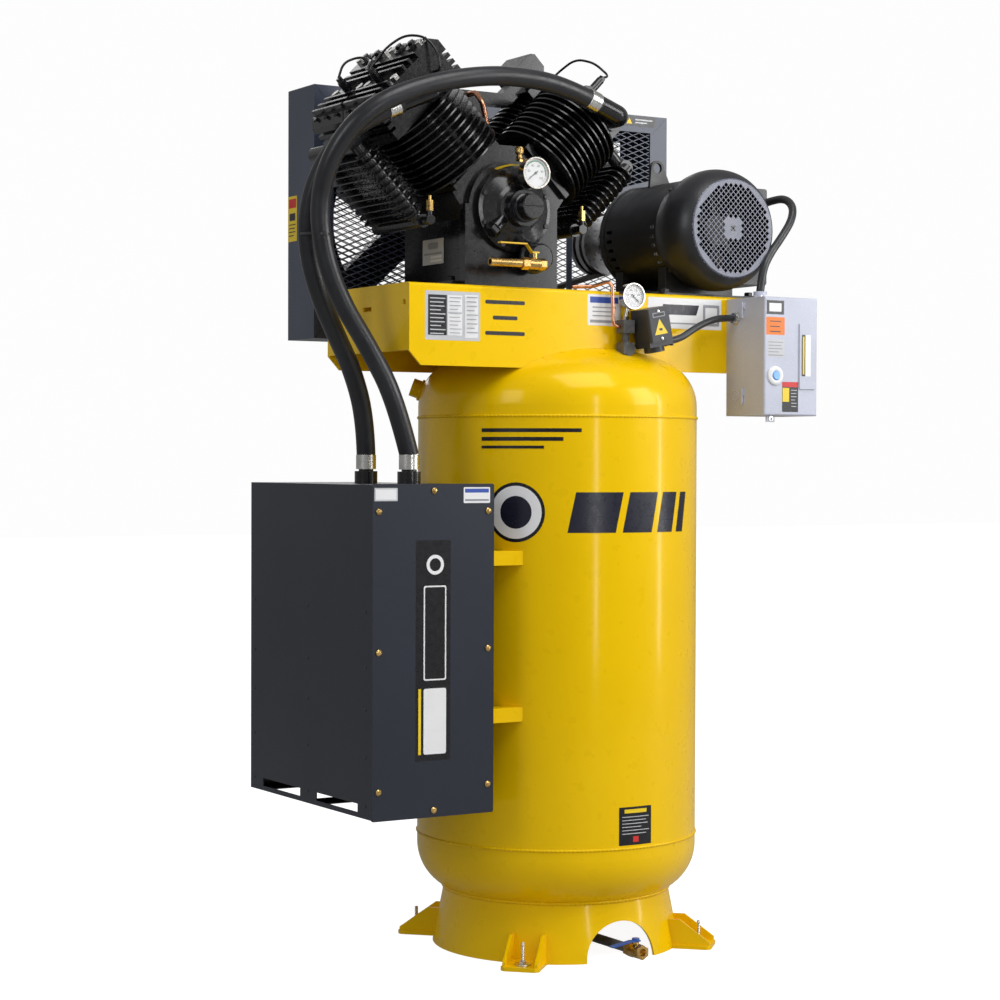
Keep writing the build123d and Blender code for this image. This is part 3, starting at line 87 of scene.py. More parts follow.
# ---- Material nodes ----
class Nodes:
    """A short way to add and join shader nodes."""

    def __init__(self, name, slot):
        self.material = bpy.data.materials.new(name)
        self.material.use_nodes = True
        self.tree = self.material.node_tree
        self.shader = self.tree.nodes["Principled BSDF"]

    def add(self, kind, inputs=None, **settings):
        node = self.tree.nodes.new(kind)
        for key, value in settings.items():
            setattr(node, key, value)
        for key, value in (inputs or {}).items():
            self.put(value, node.inputs[key])
        return node

    def put(self, value, socket):
        if isinstance(value, bpy.types.NodeSocket):
            self.tree.links.new(value, socket)
        else:
            socket.default_value = value

    def set(self, **values):
        for key, value in values.items():
            self.put(value, self.shader.inputs[key.replace("_", " ")])

    def place(self, stretch=(1, 1, 1)):
        spot = self.add("ShaderNodeTexCoord").outputs["Object"]
        return self.add("ShaderNodeMapping", {"Vector": spot, "Scale": stretch}).outputs["Vector"]

    def noise(self, scale, detail=3.0, stretch=(1, 1, 1), roughness=0.5):
        inputs = {"Vector": self.place(stretch), "Scale": scale, "Detail": detail, "Roughness": roughness}
        return self.add("ShaderNodeTexNoise", inputs).outputs["Fac"]

    def fit(self, value, low, high, to_low, to_high):
        inputs = {"Value": value, "From Min": low, "From Max": high, "To Min": to_low, "To Max": to_high}
        return self.add("ShaderNodeMapRange", inputs).outputs["Result"]

    def mix(self, amount, first, second):
        node = self.add("ShaderNodeMix", data_type="RGBA")
        self.put(amount, node.inputs[0])
        self.put(first, node.inputs[6])
        self.put(second, node.inputs[7])
        return node.outputs[2]

    def times(self, first, second):
        node = self.add("ShaderNodeMath", operation="MULTIPLY")
        self.put(first, node.inputs[0])
        self.put(second, node.inputs[1])
        return node.outputs[0]

    def rounded(self, radius_mm):
        return self.add("ShaderNodeBevel", {"Radius": radius_mm * MM}, samples=4).outputs["Normal"]

    def edges(self, radius_mm, width=0.06):
        """1 along sharp edges, 0 on flat surfaces."""
        flat = self.add("ShaderNodeNewGeometry").outputs["Normal"]
        dot = self.add("ShaderNodeVectorMath", operation="DOT_PRODUCT")
        self.put(self.rounded(radius_mm), dot.inputs[0])
        self.put(flat, dot.inputs[1])
        return self.fit(dot.outputs["Value"], 1 - width, 1 - width / 8, 1, 0)

    def bump(self, height, strength, distance_mm, normal=None):
        inputs = {"Height": height, "Strength": strength, "Distance": distance_mm * MM}
        if normal is not None:
            inputs["Normal"] = normal
        return self.add("ShaderNodeBump", inputs).outputs["Normal"]


def shade(colour, factor):
    """A colour made darker or lighter."""
    return tuple(min(1.0, c * factor) for c in colour[:3]) + (1.0,)


def paint(name, slot, colour, rough=0.3, coat=0.3, spread=0.08, peel=0.06, round_mm=0.8, wear=0.0,
          peel_mm=3.0, tint=(1, 1, 1)):
    """Sprayed paint: uneven tone, faint orange peel, softened edges, and lighter rubbed edges if asked."""
    n = Nodes(name, slot)
    cloud = n.noise(5.0, 4.0)
    tone = n.mix(n.fit(cloud, 0.3, 0.7, 0, 1), shade(colour, 1 - spread), shade(colour, 1 + spread))
    if wear:
        rub = n.times(n.edges(1.2), n.fit(n.noise(60.0), 0.45, 0.65, 0, wear))
        tone = n.mix(rub, tone, shade((0.35, 0.34, 0.33), 1))
    n.set(Base_Color=tone, Coat_Weight=coat, Coat_Roughness=0.12, Specular_Tint=shade(tint, 1))
    n.set(Roughness=n.fit(n.noise(30.0, 5.0), 0.3, 0.7, rough * 0.85, rough * 1.2))
    skin = n.noise(1000.0 / peel_mm, 2.0)
    n.set(Normal=n.bump(skin, peel, 0.4, n.rounded(round_mm)))
    return n.material


def powder(name, slot, colour, rough=0.42, grain_mm=1.3, grain=0.28, round_mm=0.8):
    """Textured powder coat with fine pimples."""
    n = Nodes(name, slot)
    fine = n.noise(1000.0 / grain_mm, 2.0)
    tone = n.mix(n.fit(n.noise(4.0, 4.0), 0.3, 0.7, 0, 1), shade(colour, 0.86), shade(colour, 1.14))
    speck = n.mix(n.fit(fine, 0.62, 0.72, 0, 0.35), tone, shade(colour, 2.2))
    n.set(Base_Color=speck, Roughness=n.fit(fine, 0.3, 0.7, rough * 0.9, rough * 1.15))
    n.set(Normal=n.bump(fine, grain, 0.35, n.rounded(round_mm)))
    return n.material


def casting(name, slot, colour, rough=0.25, coat=0.5, lump=0.35, round_mm=1.6):
    """Painted sand casting: lumpy under glossy paint, with dull dust in the noise's hollows."""
    n = Nodes(name, slot)
    coarse = n.noise(120.0, 5.0, roughness=0.6)
    fine = n.noise(600.0, 3.0)
    both = n.add("ShaderNodeMath", operation="ADD")
    n.put(coarse, both.inputs[0])
    n.put(n.times(fine, 0.35), both.inputs[1])
    tone = n.mix(n.fit(coarse, 0.35, 0.7, 0, 1), shade(colour, 0.75), shade(colour, 1.35))
    rub = n.times(n.edges(1.0), n.fit(n.noise(45.0), 0.5, 0.62, 0, 0.5))
    n.set(Base_Color=n.mix(rub, tone, shade((0.16, 0.16, 0.17), 1)))
    n.set(Roughness=n.fit(coarse, 0.3, 0.7, rough * 0.8, rough * 1.5), Coat_Weight=coat, Coat_Roughness=0.14)
    n.set(Specular_IOR_Level=0.32)
    n.set(Normal=n.bump(both.outputs[0], lump, 0.7, n.rounded(round_mm)))
    return n.material


def metal(name, slot, colour, rough=0.25, brushed=(1, 1, 1), scratch=0.08, stain=0.15, round_mm=0.5):
    """Bare or plated metal with fine scratches and a slight stain."""
    n = Nodes(name, slot)
    lines = n.noise(260.0, 4.0, brushed)
    cloud = n.noise(35.0, 4.0)
    tone = n.mix(n.fit(cloud, 0.35, 0.7, 0, 1), shade(colour, 1 - stain), shade(colour, 1 + stain / 2))
    n.set(Base_Color=tone, Metallic=1.0)
    n.set(Roughness=n.fit(lines, 0.3, 0.7, rough * 0.75, rough * 1.4))
    n.set(Normal=n.bump(lines, scratch, 0.3, n.rounded(round_mm)))
    return n.material


def rubber(name, slot, colour, rough=0.42, rib_mm=0.0, sheen=0.15):
    """Rubber or PVC: dull black with faint mottling, dust and, if asked, fine moulded ribs."""
    n = Nodes(name, slot)
    fine = n.noise(420.0, 3.0)
    tone = n.mix(n.fit(n.noise(14.0, 5.0), 0.4, 0.75, 0, 1), shade(colour, 0.85), shade(colour, 1.6))
    n.set(Base_Color=tone, Roughness=n.fit(n.noise(60.0, 4.0), 0.3, 0.7, rough * 0.85, rough * 1.25))
    n.set(Sheen_Weight=sheen, Sheen_Roughness=0.5)
    height = fine
    if rib_mm:
        inputs = {"Vector": n.place(), "Scale": 1000.0 / rib_mm / 3.0}
        wave = n.add("ShaderNodeTexWave", inputs, bands_direction="Z")
        height = wave.outputs["Fac"]
    n.set(Normal=n.bump(height, 0.12, 0.3))
    return n.material


def plain(name, slot, colour, rough=0.35, spread=0.05, coat=0.0):
    """Printed film or moulded plastic."""
    n = Nodes(name, slot)
    cloud = n.fit(n.noise(25.0, 3.0), 0.3, 0.7, 0, 1)
    tone = n.mix(cloud, shade(colour, 1 - spread), shade(colour, 1 + spread))
    n.set(Base_Color=tone, Roughness=n.fit(n.noise(90.0, 3.0), 0.3, 0.7, rough * 0.9, rough * 1.15))
    n.set(Coat_Weight=coat, Normal=n.bump(n.noise(500.0, 2.0), 0.04, 0.2))
    return n.material


def clear_cover(name, slot):
    """A clear dial cover that still lets light through."""
    n = Nodes(name, slot)
    n.set(Base_Color=(1, 1, 1, 1), Roughness=0.04, Alpha=0.12)
    return n.material


def pleated_paper(name, slot):
    """Filter paper with vertical pleats."""
    n = Nodes(name, slot)
    wave = n.add("ShaderNodeTexWave", {"Vector": n.place(), "Scale": 60.0}, bands_direction="Y")
    n.set(Base_Color=n.mix(wave.outputs["Fac"], (0.5, 0.42, 0.28, 1), (0.8, 0.72, 0.55, 1)), Roughness=0.85)
    n.set(Normal=n.bump(wave.outputs["Fac"], 0.6, 2.0))
    return n.material


def make_materials():
    """Every finish, by the record's slot name, and the extra ones for small pieces."""
    black = (0.012, 0.0125, 0.014)
    recipes = {
        "tank_paint": (paint, (0.90, 0.56, 0.0005), 0.30, 0.30, 0.03, 0.04, 0.8, 0.0, 3.0, (1, 0.72, 0.01)),
        "pump_paint": (casting, (0.0045, 0.0045, 0.006), 0.20, 0.45, 0.10),
        "guard_paint": (powder, (0.050, 0.060, 0.092), 0.32),
        "silencer_paint": (powder, (0.012, 0.016, 0.028), 0.34, 2.2, 0.20),
        "motor_paint": (paint, (0.016, 0.0165, 0.019), 0.40, 0.1, 0.15, 0.12, 1.2, 0.4, 1.2),
        # The fan cover's grille finish is the motor's paint made lighter and bluer: a painted reflection of
        # the bright studio on its front strands.
        "grille_paint": (paint, (0.13, 0.14, 0.19), 0.35, 0.2, 0.05),
        "starter_paint": (powder, (0.52, 0.54, 0.64), 0.40, 2.4, 0.12),
        "pipe_fittings": (casting, (0.10, 0.10, 0.10), 0.45, 0.0, 0.25, 0.8),
        "zinc_steel": (metal, (0.72, 0.71, 0.68), 0.24),
        "machined_iron": (metal, (0.42, 0.42, 0.43), 0.32),
        "bearing_steel": (metal, (0.62, 0.62, 0.64), 0.18),
        "rotor_steel": (metal, (0.42, 0.42, 0.44), 0.32),
        "stator_laminations": (metal, (0.30, 0.26, 0.24), 0.45, (1, 14, 1)),
        "brass": (metal, (0.70, 0.46, 0.16), 0.24, (1, 1, 1), 0.15, 0.3),
        "copper": (metal, (0.72, 0.34, 0.20), 0.22, (1, 1, 1), 0.06, 0.25),
        "gauge_case": (metal, (0.58, 0.55, 0.50), 0.16),
        "cooler_aluminium": (casting, (0.011, 0.011, 0.013), 0.24, 0.5, 0.15, 0.8),
        "piston_aluminium": (metal, (0.66, 0.67, 0.69), 0.28),
        "die_cast_zinc": (metal, (0.42, 0.42, 0.43), 0.42),
        "filter_can": (paint, black, 0.18, 0.6, 0.1, 0.03),
        "filter_paper": (pleated_paper,),
        "belt_rubber": (rubber, (0.02, 0.02, 0.02), 0.6),
        "hose_rubber": (rubber, (0.010, 0.0105, 0.013), 0.34, 0.0, 0.06),
        "conduit_pvc": (rubber, (0.02, 0.021, 0.023), 0.34),
        "cable_pvc": (rubber, (0.02, 0.021, 0.023), 0.34),
        "switch_plastic": (plain, (0.035, 0.036, 0.04), 0.38),
        "contactor_plastic": (plain, (0.10, 0.10, 0.10), 0.5),
        "button_blue": (plain, (0.16, 0.42, 0.86), 0.3, 0.04, 0.3),
        "lever_black": (plain, (0.02, 0.02, 0.02), 0.4),
        "lever_yellow": (paint, (0.86, 0.53, 0.01), 0.32, 0.2),
        "lever_blue": (paint, (0.02, 0.10, 0.42), 0.32, 0.2),
        "pointer_black": (plain, (0.01, 0.01, 0.01), 0.4),
        "dial_cover": (clear_cover,),
        "white_film": (plain, (0.83, 0.83, 0.84), 0.3, 0.02),
        "black_film": (plain, (0.005, 0.005, 0.007), 0.28, 0.04),
        "navy_film": (plain, (0.008, 0.009, 0.022), 0.28, 0.1),
        "silver_film": (plain, (0.55, 0.56, 0.58), 0.3, 0.04),
        "grey_film": (plain, (0.30, 0.31, 0.34), 0.4, 0.04),
        "yellow_film": (plain, (0.88, 0.62, 0.01), 0.35, 0.03),
        "orange_film": (plain, (0.88, 0.20, 0.01), 0.4, 0.03),
        "red_film": (plain, (0.65, 0.02, 0.02), 0.4, 0.03),
        "blue_film": (plain, (0.03, 0.08, 0.40), 0.4, 0.03),
        "green_film": (plain, (0.01, 0.30, 0.10), 0.4, 0.03),
    }
    shared = {
        "motor_paint": ("grille_paint",),
        "gauge_case": ("dial_cover", "green_film"),
        "starter_paint": ("white_film", "grey_film"),
        "silencer_paint": ("black_film", "navy_film"),
        "zinc_steel": ("silver_film",),
        "lever_yellow": ("yellow_film", "orange_film", "red_film"),
        "lever_blue": ("blue_film",),
    }
    slots = {name: slot for slot, names in shared.items() for name in names}
    return {name: make(name, slots.get(name, name), *values) for name, (make, *values) in recipes.items()}


# ---- Mesh building, in millimetres ----
def frame_at(at, axis=(0, 0, 1), across=None):
    """A matrix at a point whose Z runs along an axis, and whose X is as near as can be to across."""
    z = Vector(axis).normalized()
    hint = Vector(across) if across else (Vector((1, 0, 0)) if abs(z.x) < 0.9 else Vector((0, 1, 0)))
    y = z.cross(hint).normalized()
    x = y.cross(z)
    turn = Matrix((x, y, z)).transposed().to_4x4()
    return Matrix.Translation(Vector(at)) @ turn


def polar(radius, turn, height=0.0):
    """A point on a circle about Z."""
    return Vector((radius * math.cos(turn), radius * math.sin(turn), height))


def lathe(bm, profile, matrix, segments=40):
    """Turns a (radius, height) profile about the matrix's Z; points at radius 0 close it."""
    rings = []
    for radius, height in profile:
        if radius < 1e-6:
            rings.append([bm.verts.new(matrix @ Vector((0, 0, height)))])
            continue
        ring = []
        for step in range(segments):
            turn = 2 * math.pi * step / segments
            ring.append(bm.verts.new(matrix @ polar(radius, turn, height)))
        rings.append(ring)
    for low, high in zip(rings, rings[1:]):
        for step in range(segments):
            after = (step + 1) % segments
            if len(low) == 1 and len(high) == 1:
                continue
            if len(low) == 1:
                bm.faces.new((low[0], high[after], high[step]))
            elif len(high) == 1:
                bm.faces.new((low[step], low[after], high[0]))
            else:
                bm.faces.new((low[step], low[after], high[after], high[step]))


def rounded_box(bm, size, matrix, bevel=1.0, steps=2):
    """A box about the matrix's origin with rounded edges."""
    made = bmesh.ops.create_cube(bm, size=1.0)["verts"]
    for vert in made:
        vert.co = Vector((vert.co.x * size[0], vert.co.y * size[1], vert.co.z * size[2]))
    edges = list({edge for vert in made for edge in vert.link_edges})
    made = bmesh.ops.bevel(bm, geom=edges, offset=bevel, segments=steps, affect="EDGES", profile=0.5)["verts"]
    bmesh.ops.transform(bm, matrix=matrix, verts=made)


def hex_head(bm, matrix, across=13.0, height=6.0, washer=0.0):
    """A chamfered hexagon head, on a washer if asked."""
    base = 0.0
    if washer:
        lathe(bm, [(across * 0.3, 0), (washer - 0.4, 0), (washer, 0.4), (washer, 1.6), (washer - 0.4, 2),
                   (across * 0.3, 2)], matrix, 32)
        base = 2.0
    corner = across / math.sqrt(3)
    rings = []
    for radius, z in ((corner, base), (corner, base + height * 0.78), (across * 0.47, base + height)):
        ring = []
        for step in range(6):
            turn = math.pi * step / 3
            ring.append(bm.verts.new(matrix @ polar(radius, turn, z)))
        rings.append(ring)
    for low, high in zip(rings, rings[1:]):
        for step in range(6):
            after = (step + 1) % 6
            bm.faces.new((low[step], low[after], high[after], high[step]))
    bm.faces.new(rings[-1])
    bm.faces.new(list(reversed(rings[0])))


def rod(bm, start, end, radius, segments=24, chamfer=0.5):
    """A round rod between two points with chamfered ends."""
    start, end = Vector(start), Vector(end)
    long = (end - start).length
    cut = min(chamfer, radius * 0.4, long * 0.3)
    profile = [(0, 0), (radius - cut, 0), (radius, cut),
               (radius, long - cut), (radius - cut, long), (0, long)]
    lathe(bm, profile, frame_at(start, end - start), segments)


def bead(bm, points, radius, closed=True, ripple=0.25, sides=6):
    """A rippled weld bead along points."""
    count = len(points)
    rings = []
    for index, point in enumerate(points):
        before, after = points[index - 1], points[(index + 1) % count]
        if not closed:
            before, after = points[max(index - 1, 0)], points[min(index + 1, count - 1)]
        along = (after - before).normalized()
        side = along.cross(Vector((0, 0, 1)))
        side = side.normalized() if side.length > 1e-3 else Vector((1, 0, 0))
        rise = side.cross(along)
        swell = radius * (1 + ripple * math.sin(index * 2.1))
        ring = []
        for step in range(sides):
            turn = 2 * math.pi * step / sides
            ring.append(bm.verts.new(point + (side * math.cos(turn) + rise * math.sin(turn)) * swell))
        rings.append(ring)
    for index in range(count if closed else count - 1):
        low, high = rings[index], rings[(index + 1) % count]
        for step in range(sides):
            bm.faces.new((low[step], low[(step + 1) % sides], high[(step + 1) % sides], high[step]))


def piece(name, bm, material, body=ROOT, smooth=True, flat_angle=35):
    """Makes an object from a mesh in millimetres, gives it its material and ties it to its body."""
    materials = material if isinstance(material, list) else [material]
    bmesh.ops.scale(bm, vec=(MM, MM, MM), verts=bm.verts)
    bmesh.ops.recalc_face_normals(bm, faces=bm.faces)
    for face in bm.faces:
        face.smooth = smooth
    for edge in bm.edges:
        if len(edge.link_faces) == 2 and edge.calc_face_angle(0) > math.radians(flat_angle):
            edge.smooth = False
    mesh = bpy.data.meshes.new(name)
    bm.to_mesh(mesh)
    bm.free()
    obj = bpy.data.objects.new(name, mesh)
    bpy.context.scene.collection.objects.link(obj)
    for one in materials:
        mesh.materials.append(FINISH[one])
    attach(obj, body)
    return obj


# ---- Cords ----
def cord(name, node, points, diameter_mm, material):
    """A free hose or cable as one smooth NURBS line with a round section."""
    curve = bpy.data.curves.new(name, "CURVE")
    curve.dimensions = "3D"
    curve.bevel_depth = diameter_mm * MM / 2
    curve.bevel_resolution = 6
    curve.resolution_u = 16
    curve.use_fill_caps = True
    line = curve.splines.new("NURBS")
    line.points.add(len(points) - 1)
    for spot, point in zip(line.points, points):
        spot.co = (point[0] * MM, point[1] * MM, point[2] * MM, 1)
    line.order_u = 3
    line.use_endpoint_u = True
    line.use_smooth = True
    obj = bpy.data.objects.new(name, curve)
    bpy.context.scene.collection.objects.link(obj)
    curve.materials.append(FINISH[material])
    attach(obj, ROOT)
    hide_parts(node)
    return obj


LEFT_HOSE = [
    (-458, 30, 1062), (-464, 24, 1140), (-503, 4, 1235), (-556, -20, 1310), (-601, -38, 1382),
    (-634, -52, 1462), (-645, -64, 1545), (-634, -90, 1625), (-606, -126, 1690),
    (-560, -158, 1738), (-486, -170, 1770),
]
RIGHT_HOSE = [
    (-458, -156, 1062), (-494, -164, 1172), (-545, -150, 1273), (-604, -130, 1373),
    (-636, -118, 1473), (-648, -122, 1573), (-636, -164, 1668), (-583, -208, 1748),
    (-471, -222, 1802), (-326, -220, 1835), (-204, -214, 1841), (-98, -206, 1826), (-23, -192, 1804),
]
CONDUIT = [
    (500, -70, 1634), (504, -106, 1640), (513, -146, 1643), (513, -176, 1622), (496, -192, 1588),
    (460, -202, 1548), (421, -210, 1508), (397, -214, 1470), (391, -215, 1424),
]
CABLE = [
    (135.3, -226, 1307.1), (166, -226, 1313.1), (196, -223, 1330), (228, -219, 1346), (262, -216, 1358),
    (294, -214, 1363), (318, -214, 1363),
]


def make_cords():
    """The two intake hoses, the motor's conduit and the switch cable."""
    cord("left_intake_hose_line", "left_intake_hose", LEFT_HOSE, 40, "hose_rubber")
    cord("right_intake_hose_line", "right_intake_hose", RIGHT_HOSE, 40, "hose_rubber")
    cord("motor_conduit_line", "motor_conduit", CONDUIT, 18, "conduit_pvc")
    cord("switch_cable_line", "switch_cable", CABLE, 15, "cable_pvc")


# ---- Studio ----
def area_light(name, at, aim, size, power, size_y=None, colour=(1, 1, 1)):
    """A soft box that looks at a point."""
    light = bpy.data.lights.new(name, "AREA")
    light.shape = "RECTANGLE"
    light.size, light.size_y = size, size_y or size
    light.energy = power
    light.color = colour
    obj = bpy.data.objects.new(name, light)
    bpy.context.scene.collection.objects.link(obj)
    obj.location = at
    obj.rotation_euler = (Vector(aim) - Vector(at)).to_track_quat("-Z", "Y").to_euler()


def make_studio():
    """A white sweep of floor and air, with soft boxes at both sides and above."""
    scene = bpy.context.scene
    scene.view_settings.view_transform = "Standard"
    world = bpy.data.worlds.new("studio")
    world.use_nodes = True
    tree = world.node_tree
    tree.nodes["Background"].inputs["Color"].default_value = (1, 1, 1, 1)
    tree.nodes["Background"].inputs["Strength"].default_value = 0.32
    seen = tree.nodes.new("ShaderNodeBackground")
    seen.inputs["Color"].default_value = (0.985, 0.985, 0.985, 1)
    rays = tree.nodes.new("ShaderNodeLightPath")
    blend = tree.nodes.new("ShaderNodeMixShader")
    tree.links.new(rays.outputs["Is Camera Ray"], blend.inputs[0])
    tree.links.new(tree.nodes["Background"].outputs[0], blend.inputs[1])
    tree.links.new(seen.outputs[0], blend.inputs[2])
    tree.links.new(blend.outputs[0], tree.nodes["World Output"].inputs["Surface"])
    scene.world = world
    floor_material = bpy.data.materials.new("studio_floor")
    floor_material.use_nodes = True
    shader = floor_material.node_tree.nodes["Principled BSDF"]
    shader.inputs["Base Color"].default_value = (0.36, 0.36, 0.36, 1)
    shader.inputs["Roughness"].default_value = 0.8
    shader.inputs["Emission Color"].default_value = (1, 1, 1, 1)
    floor_tree = floor_material.node_tree
    floor_rays = floor_tree.nodes.new("ShaderNodeLightPath")
    glow = floor_tree.nodes.new("ShaderNodeMapRange")
    glow.inputs["To Min"].default_value = 0.06
    glow.inputs["To Max"].default_value = 0.93
    floor_tree.links.new(floor_rays.outputs["Is Camera Ray"], glow.inputs["Value"])
    floor_tree.links.new(glow.outputs["Result"], shader.inputs["Emission Strength"])
    bm = bmesh.new()
    corners = [bm.verts.new((x, y, -0.0005)) for x, y in ((-25, -25), (25, -25), (25, 25), (-25, 25))]
    bm.faces.new(corners)
    mesh = bpy.data.meshes.new("studio_floor")
    bm.to_mesh(mesh)
    bm.free()
    floor = bpy.data.objects.new("studio_floor", mesh)
    bpy.context.scene.collection.objects.link(floor)
    mesh.materials.append(floor_material)
    area_light("key_right", (3.2, -3.6, 2.6), (0, 0, 1.1), 1.8, 92, 2.6)
    area_light("strip_front", (-0.15, -4.3, 1.5), (0, 0, 1.2), 0.20, 16, 2.4)
    area_light("strip_right", (3.6, -2.35, 1.5), (0, 0, 1.2), 0.25, 20, 2.4)
    area_light("fill_left", (-4.4, -1.6, 2.8), (0, 0, 1.3), 1.4, 34, 2.0, (0.90, 0.95, 1.0))
    area_light("top", (0.0, -2.2, 4.4), (0, 0, 1.4), 2.4, 78)
    area_light("back", (1.2, 3.6, 2.8), (0, 0, 1.5), 2.0, 20)


FINISH = make_materials()


def finish_cad_nodes():
    """Gives every CAD node the material of its slot."""
    slots = {entry["node"]: entry["material_slot"] for entry in frame["record"]["subparts"]}
    for name, obj in frame["nodes"].items():
        obj.data.materials.clear()
        obj.data.materials.append(FINISH[slots[name]])


# ---- Guard ----
def lattice(name, y, inside, node_box, stands_for):
    """Expanded metal: zigzag strands that meet in diamonds, kept where inside(x, z) is true."""
    half_long, half_short = 17.5, 3.43
    x0, x1, z0, z1 = node_box
    verts, faces = [], []
    section = ((-1.0, -1.3), (0.8, -1.0), (1.0, 1.3), (-0.8, 1.0))
    for row in range(int((z1 - z0) / (2 * half_short)) + 1):
        before = None
        for column in range(int((x1 - x0) / half_long) + 1):
            rise = half_short if (row + column) % 2 else -half_short
            x, z = x0 + column * half_long, z0 + row * 2 * half_short + rise
            if not inside(x, z):
                before = None
                continue
            first = len(verts)
            verts += [(x * MM, (y + dy) * MM, (z + dz) * MM) for dy, dz in section]
            if before is not None:
                for side in range(4):
                    after = (side + 1) % 4
                    faces.append((before + side, before + after, first + after, first + side))
            before = first
    mesh = bpy.data.meshes.new(name)
    mesh.from_pydata(verts, [], faces)
    mesh.update()
    obj = bpy.data.objects.new(name, mesh)
    bpy.context.scene.collection.objects.link(obj)
    mesh.materials.append(FINISH["guard_paint"])
    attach(obj, ROOT)
    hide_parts(stands_for)
    return obj


def guard_panels():
    """Expanded metal at the front and at the back of the belt guard."""
    def front(x, z):
        low = 1643 + (x - 173) * 61 / 259 if x > 173 else 1355
        clear_of_shaft = (x - CRANK.x) ** 2 + (z - CRANK.z) ** 2 > 31**2
        return -434 < x < 431 and low < z < 1839 and clear_of_shaft

    lattice("guard_front_mesh", 253.0, front, (-433, 431, 1357, 1839), "guard_mesh")
    lattice("guard_back_mesh", 376.3, lambda x, z: True, (-426, 424, 1362, 1824), "guard_back")
    bm = bmesh.new()
    for x0, x1, z0, z1 in ((-470, -422, 1316, 1868), (420, 468, 1316, 1868),
                           (-422, 420, 1316, 1366), (-422, 420, 1820, 1868)):
        middle = ((x0 + x1) / 2, 376.5, (z0 + z1) / 2)
        rounded_box(bm, (x1 - x0, 2.6, z1 - z0), Matrix.Translation(middle), 0.6, 1)
    piece("guard_back_border", bm, "guard_paint")
    bm = bmesh.new()
    for x in (-446, -160, 150, 444):
        for z in (1340, 1846):
            hex_head(bm, frame_at((x, 377.4, z), (0, 1, 0)), 8, 0.5)
    piece("guard_bolts", bm, "zinc_steel")
    bm = bmesh.new()
    corners = ((-470, -422, 1868, 1820), (468, 420, 1868, 1820), (-470, -422, 1316, 1366))
    for out_x, in_x, out_z, in_z in corners:
        way = Vector((in_x - out_x, 0, in_z - out_z))
        middle = Vector(((in_x + out_x) / 2, 250.0, (in_z + out_z) / 2))
        rounded_box(bm, (0.9, 0.3, way.length - 3), frame_at(middle, way, (1, 0, 0)), 0.1, 1)
    piece("guard_mitre_lines", bm, "black_film")
    face = flat_place((380, 250, 1854))
    label("guard_border_label", face,
          [("white_film", box_shape(-55, -10, -34, 11, 1)), ("black_film", box_shape(-33, -12, 54, 12, 1)),
           ("yellow_film", [(-28, -7), (-12, -7), (-20, 7)]), ("silver_film", box_shape(-4, 2, 46, 5)),
           ("silver_film", box_shape(-4, -5, 30, -2))])
    face = flat_place((-470, 355.5, 1584), (0, -1, 0))
    label("guard_side_label", face,
          [("yellow_film", box_shape(-22, -50, 22, 50, 2)), ("red_film", box_shape(-18, 24, 18, 44, 1)),
           ("black_film", box_shape(-14, -4, 14, 12, 1))]
          + print_lines("black_film", -16, 16, -12, 4, 8, 2.0))


# ---- Flat and curved labels ----
def flat_place(origin, across=(1, 0, 0)):
    """A place function for a flat upright label: u across, v up, lift outwards."""
    origin, across, up = Vector(origin), Vector(across).normalized(), Vector((0, 0, 1))
    out = across.cross(up)
    return lambda u, v, lift: origin + across * u + up * v + out * lift


def tank_place(azimuth, z):
    """A place function for a label on the tank's wall: u runs along the wall, v up."""
    def place(u, v, lift):
        turn = math.radians(azimuth) + u / TANK_R
        radius = TANK_R + lift
        return polar(radius, turn, z + v)
    return place


def box_shape(u0, v0, u1, v1, round_mm=0.0, lean=0.0):
    """Corner points of a rectangle, with rounded corners or leaning sides if asked."""
    if round_mm <= 0:
        return [(u0, v0), (u1, v0), (u1 + lean, v1), (u0 + lean, v1)]
    points = []
    for cu, cv, start in ((u1 - round_mm, v0 + round_mm, -90), (u1 - round_mm, v1 - round_mm, 0),
                          (u0 + round_mm, v1 - round_mm, 90), (u0 + round_mm, v0 + round_mm, 180)):
        for step in range(5):
            turn = math.radians(start + step * 22.5)
            points.append((cu + round_mm * math.cos(turn), cv + round_mm * math.sin(turn)))
    return points


def disc_shape(u, v, radius, steps=40):
    """Corner points of a disc."""
    turns = [2 * math.pi * step / steps for step in range(steps)]
    return [(u + radius * math.cos(t), v + radius * math.sin(t)) for t in turns]


def label(name, place, layers, body=ROOT, strip=None, lift=0.15):
    """Printed film: each (finish, outline) layer lies a little above the one before it.

    On a curved wall every layer is cut into upright strips, so that it follows the wall.
    """
    names = []
    bm = bmesh.new()
    for index, (finish, outline) in enumerate(layers):
        if finish not in names:
            names.append(finish)
        layer = bmesh.new()
        layer.faces.new([layer.verts.new((u, v, 0)) for u, v in outline])
        first, last = min(u for u, _ in outline), max(u for u, _ in outline)
        cuts = int((last - first) / strip) if strip else 0
        for cut in range(1, cuts + 1):
            everything = layer.verts[:] + layer.edges[:] + layer.faces[:]
            at = (first + cut * strip, 0, 0)
            bmesh.ops.bisect_plane(layer, geom=everything, plane_co=at, plane_no=(1, 0, 0))
        placed = {v: bm.verts.new(place(v.co.x, v.co.y, lift * (index + 1))) for v in layer.verts}
        for face in layer.faces:
            bm.faces.new([placed[v] for v in face.verts]).material_index = names.index(finish)
        layer.free()
    return piece(name, bm, names, body)


def print_lines(finish, u0, u1, top, count, pitch, thick):
    """Plain grey bars where a real label has small print."""
    shapes = []
    for row in range(count):
        v = top - row * pitch
        end = u1 - (u1 - u0) * (0.0, 0.12, 0.05, 0.3)[row % 4]
        shapes.append((finish, box_shape(u0, v - thick, end, v)))
    return shapes


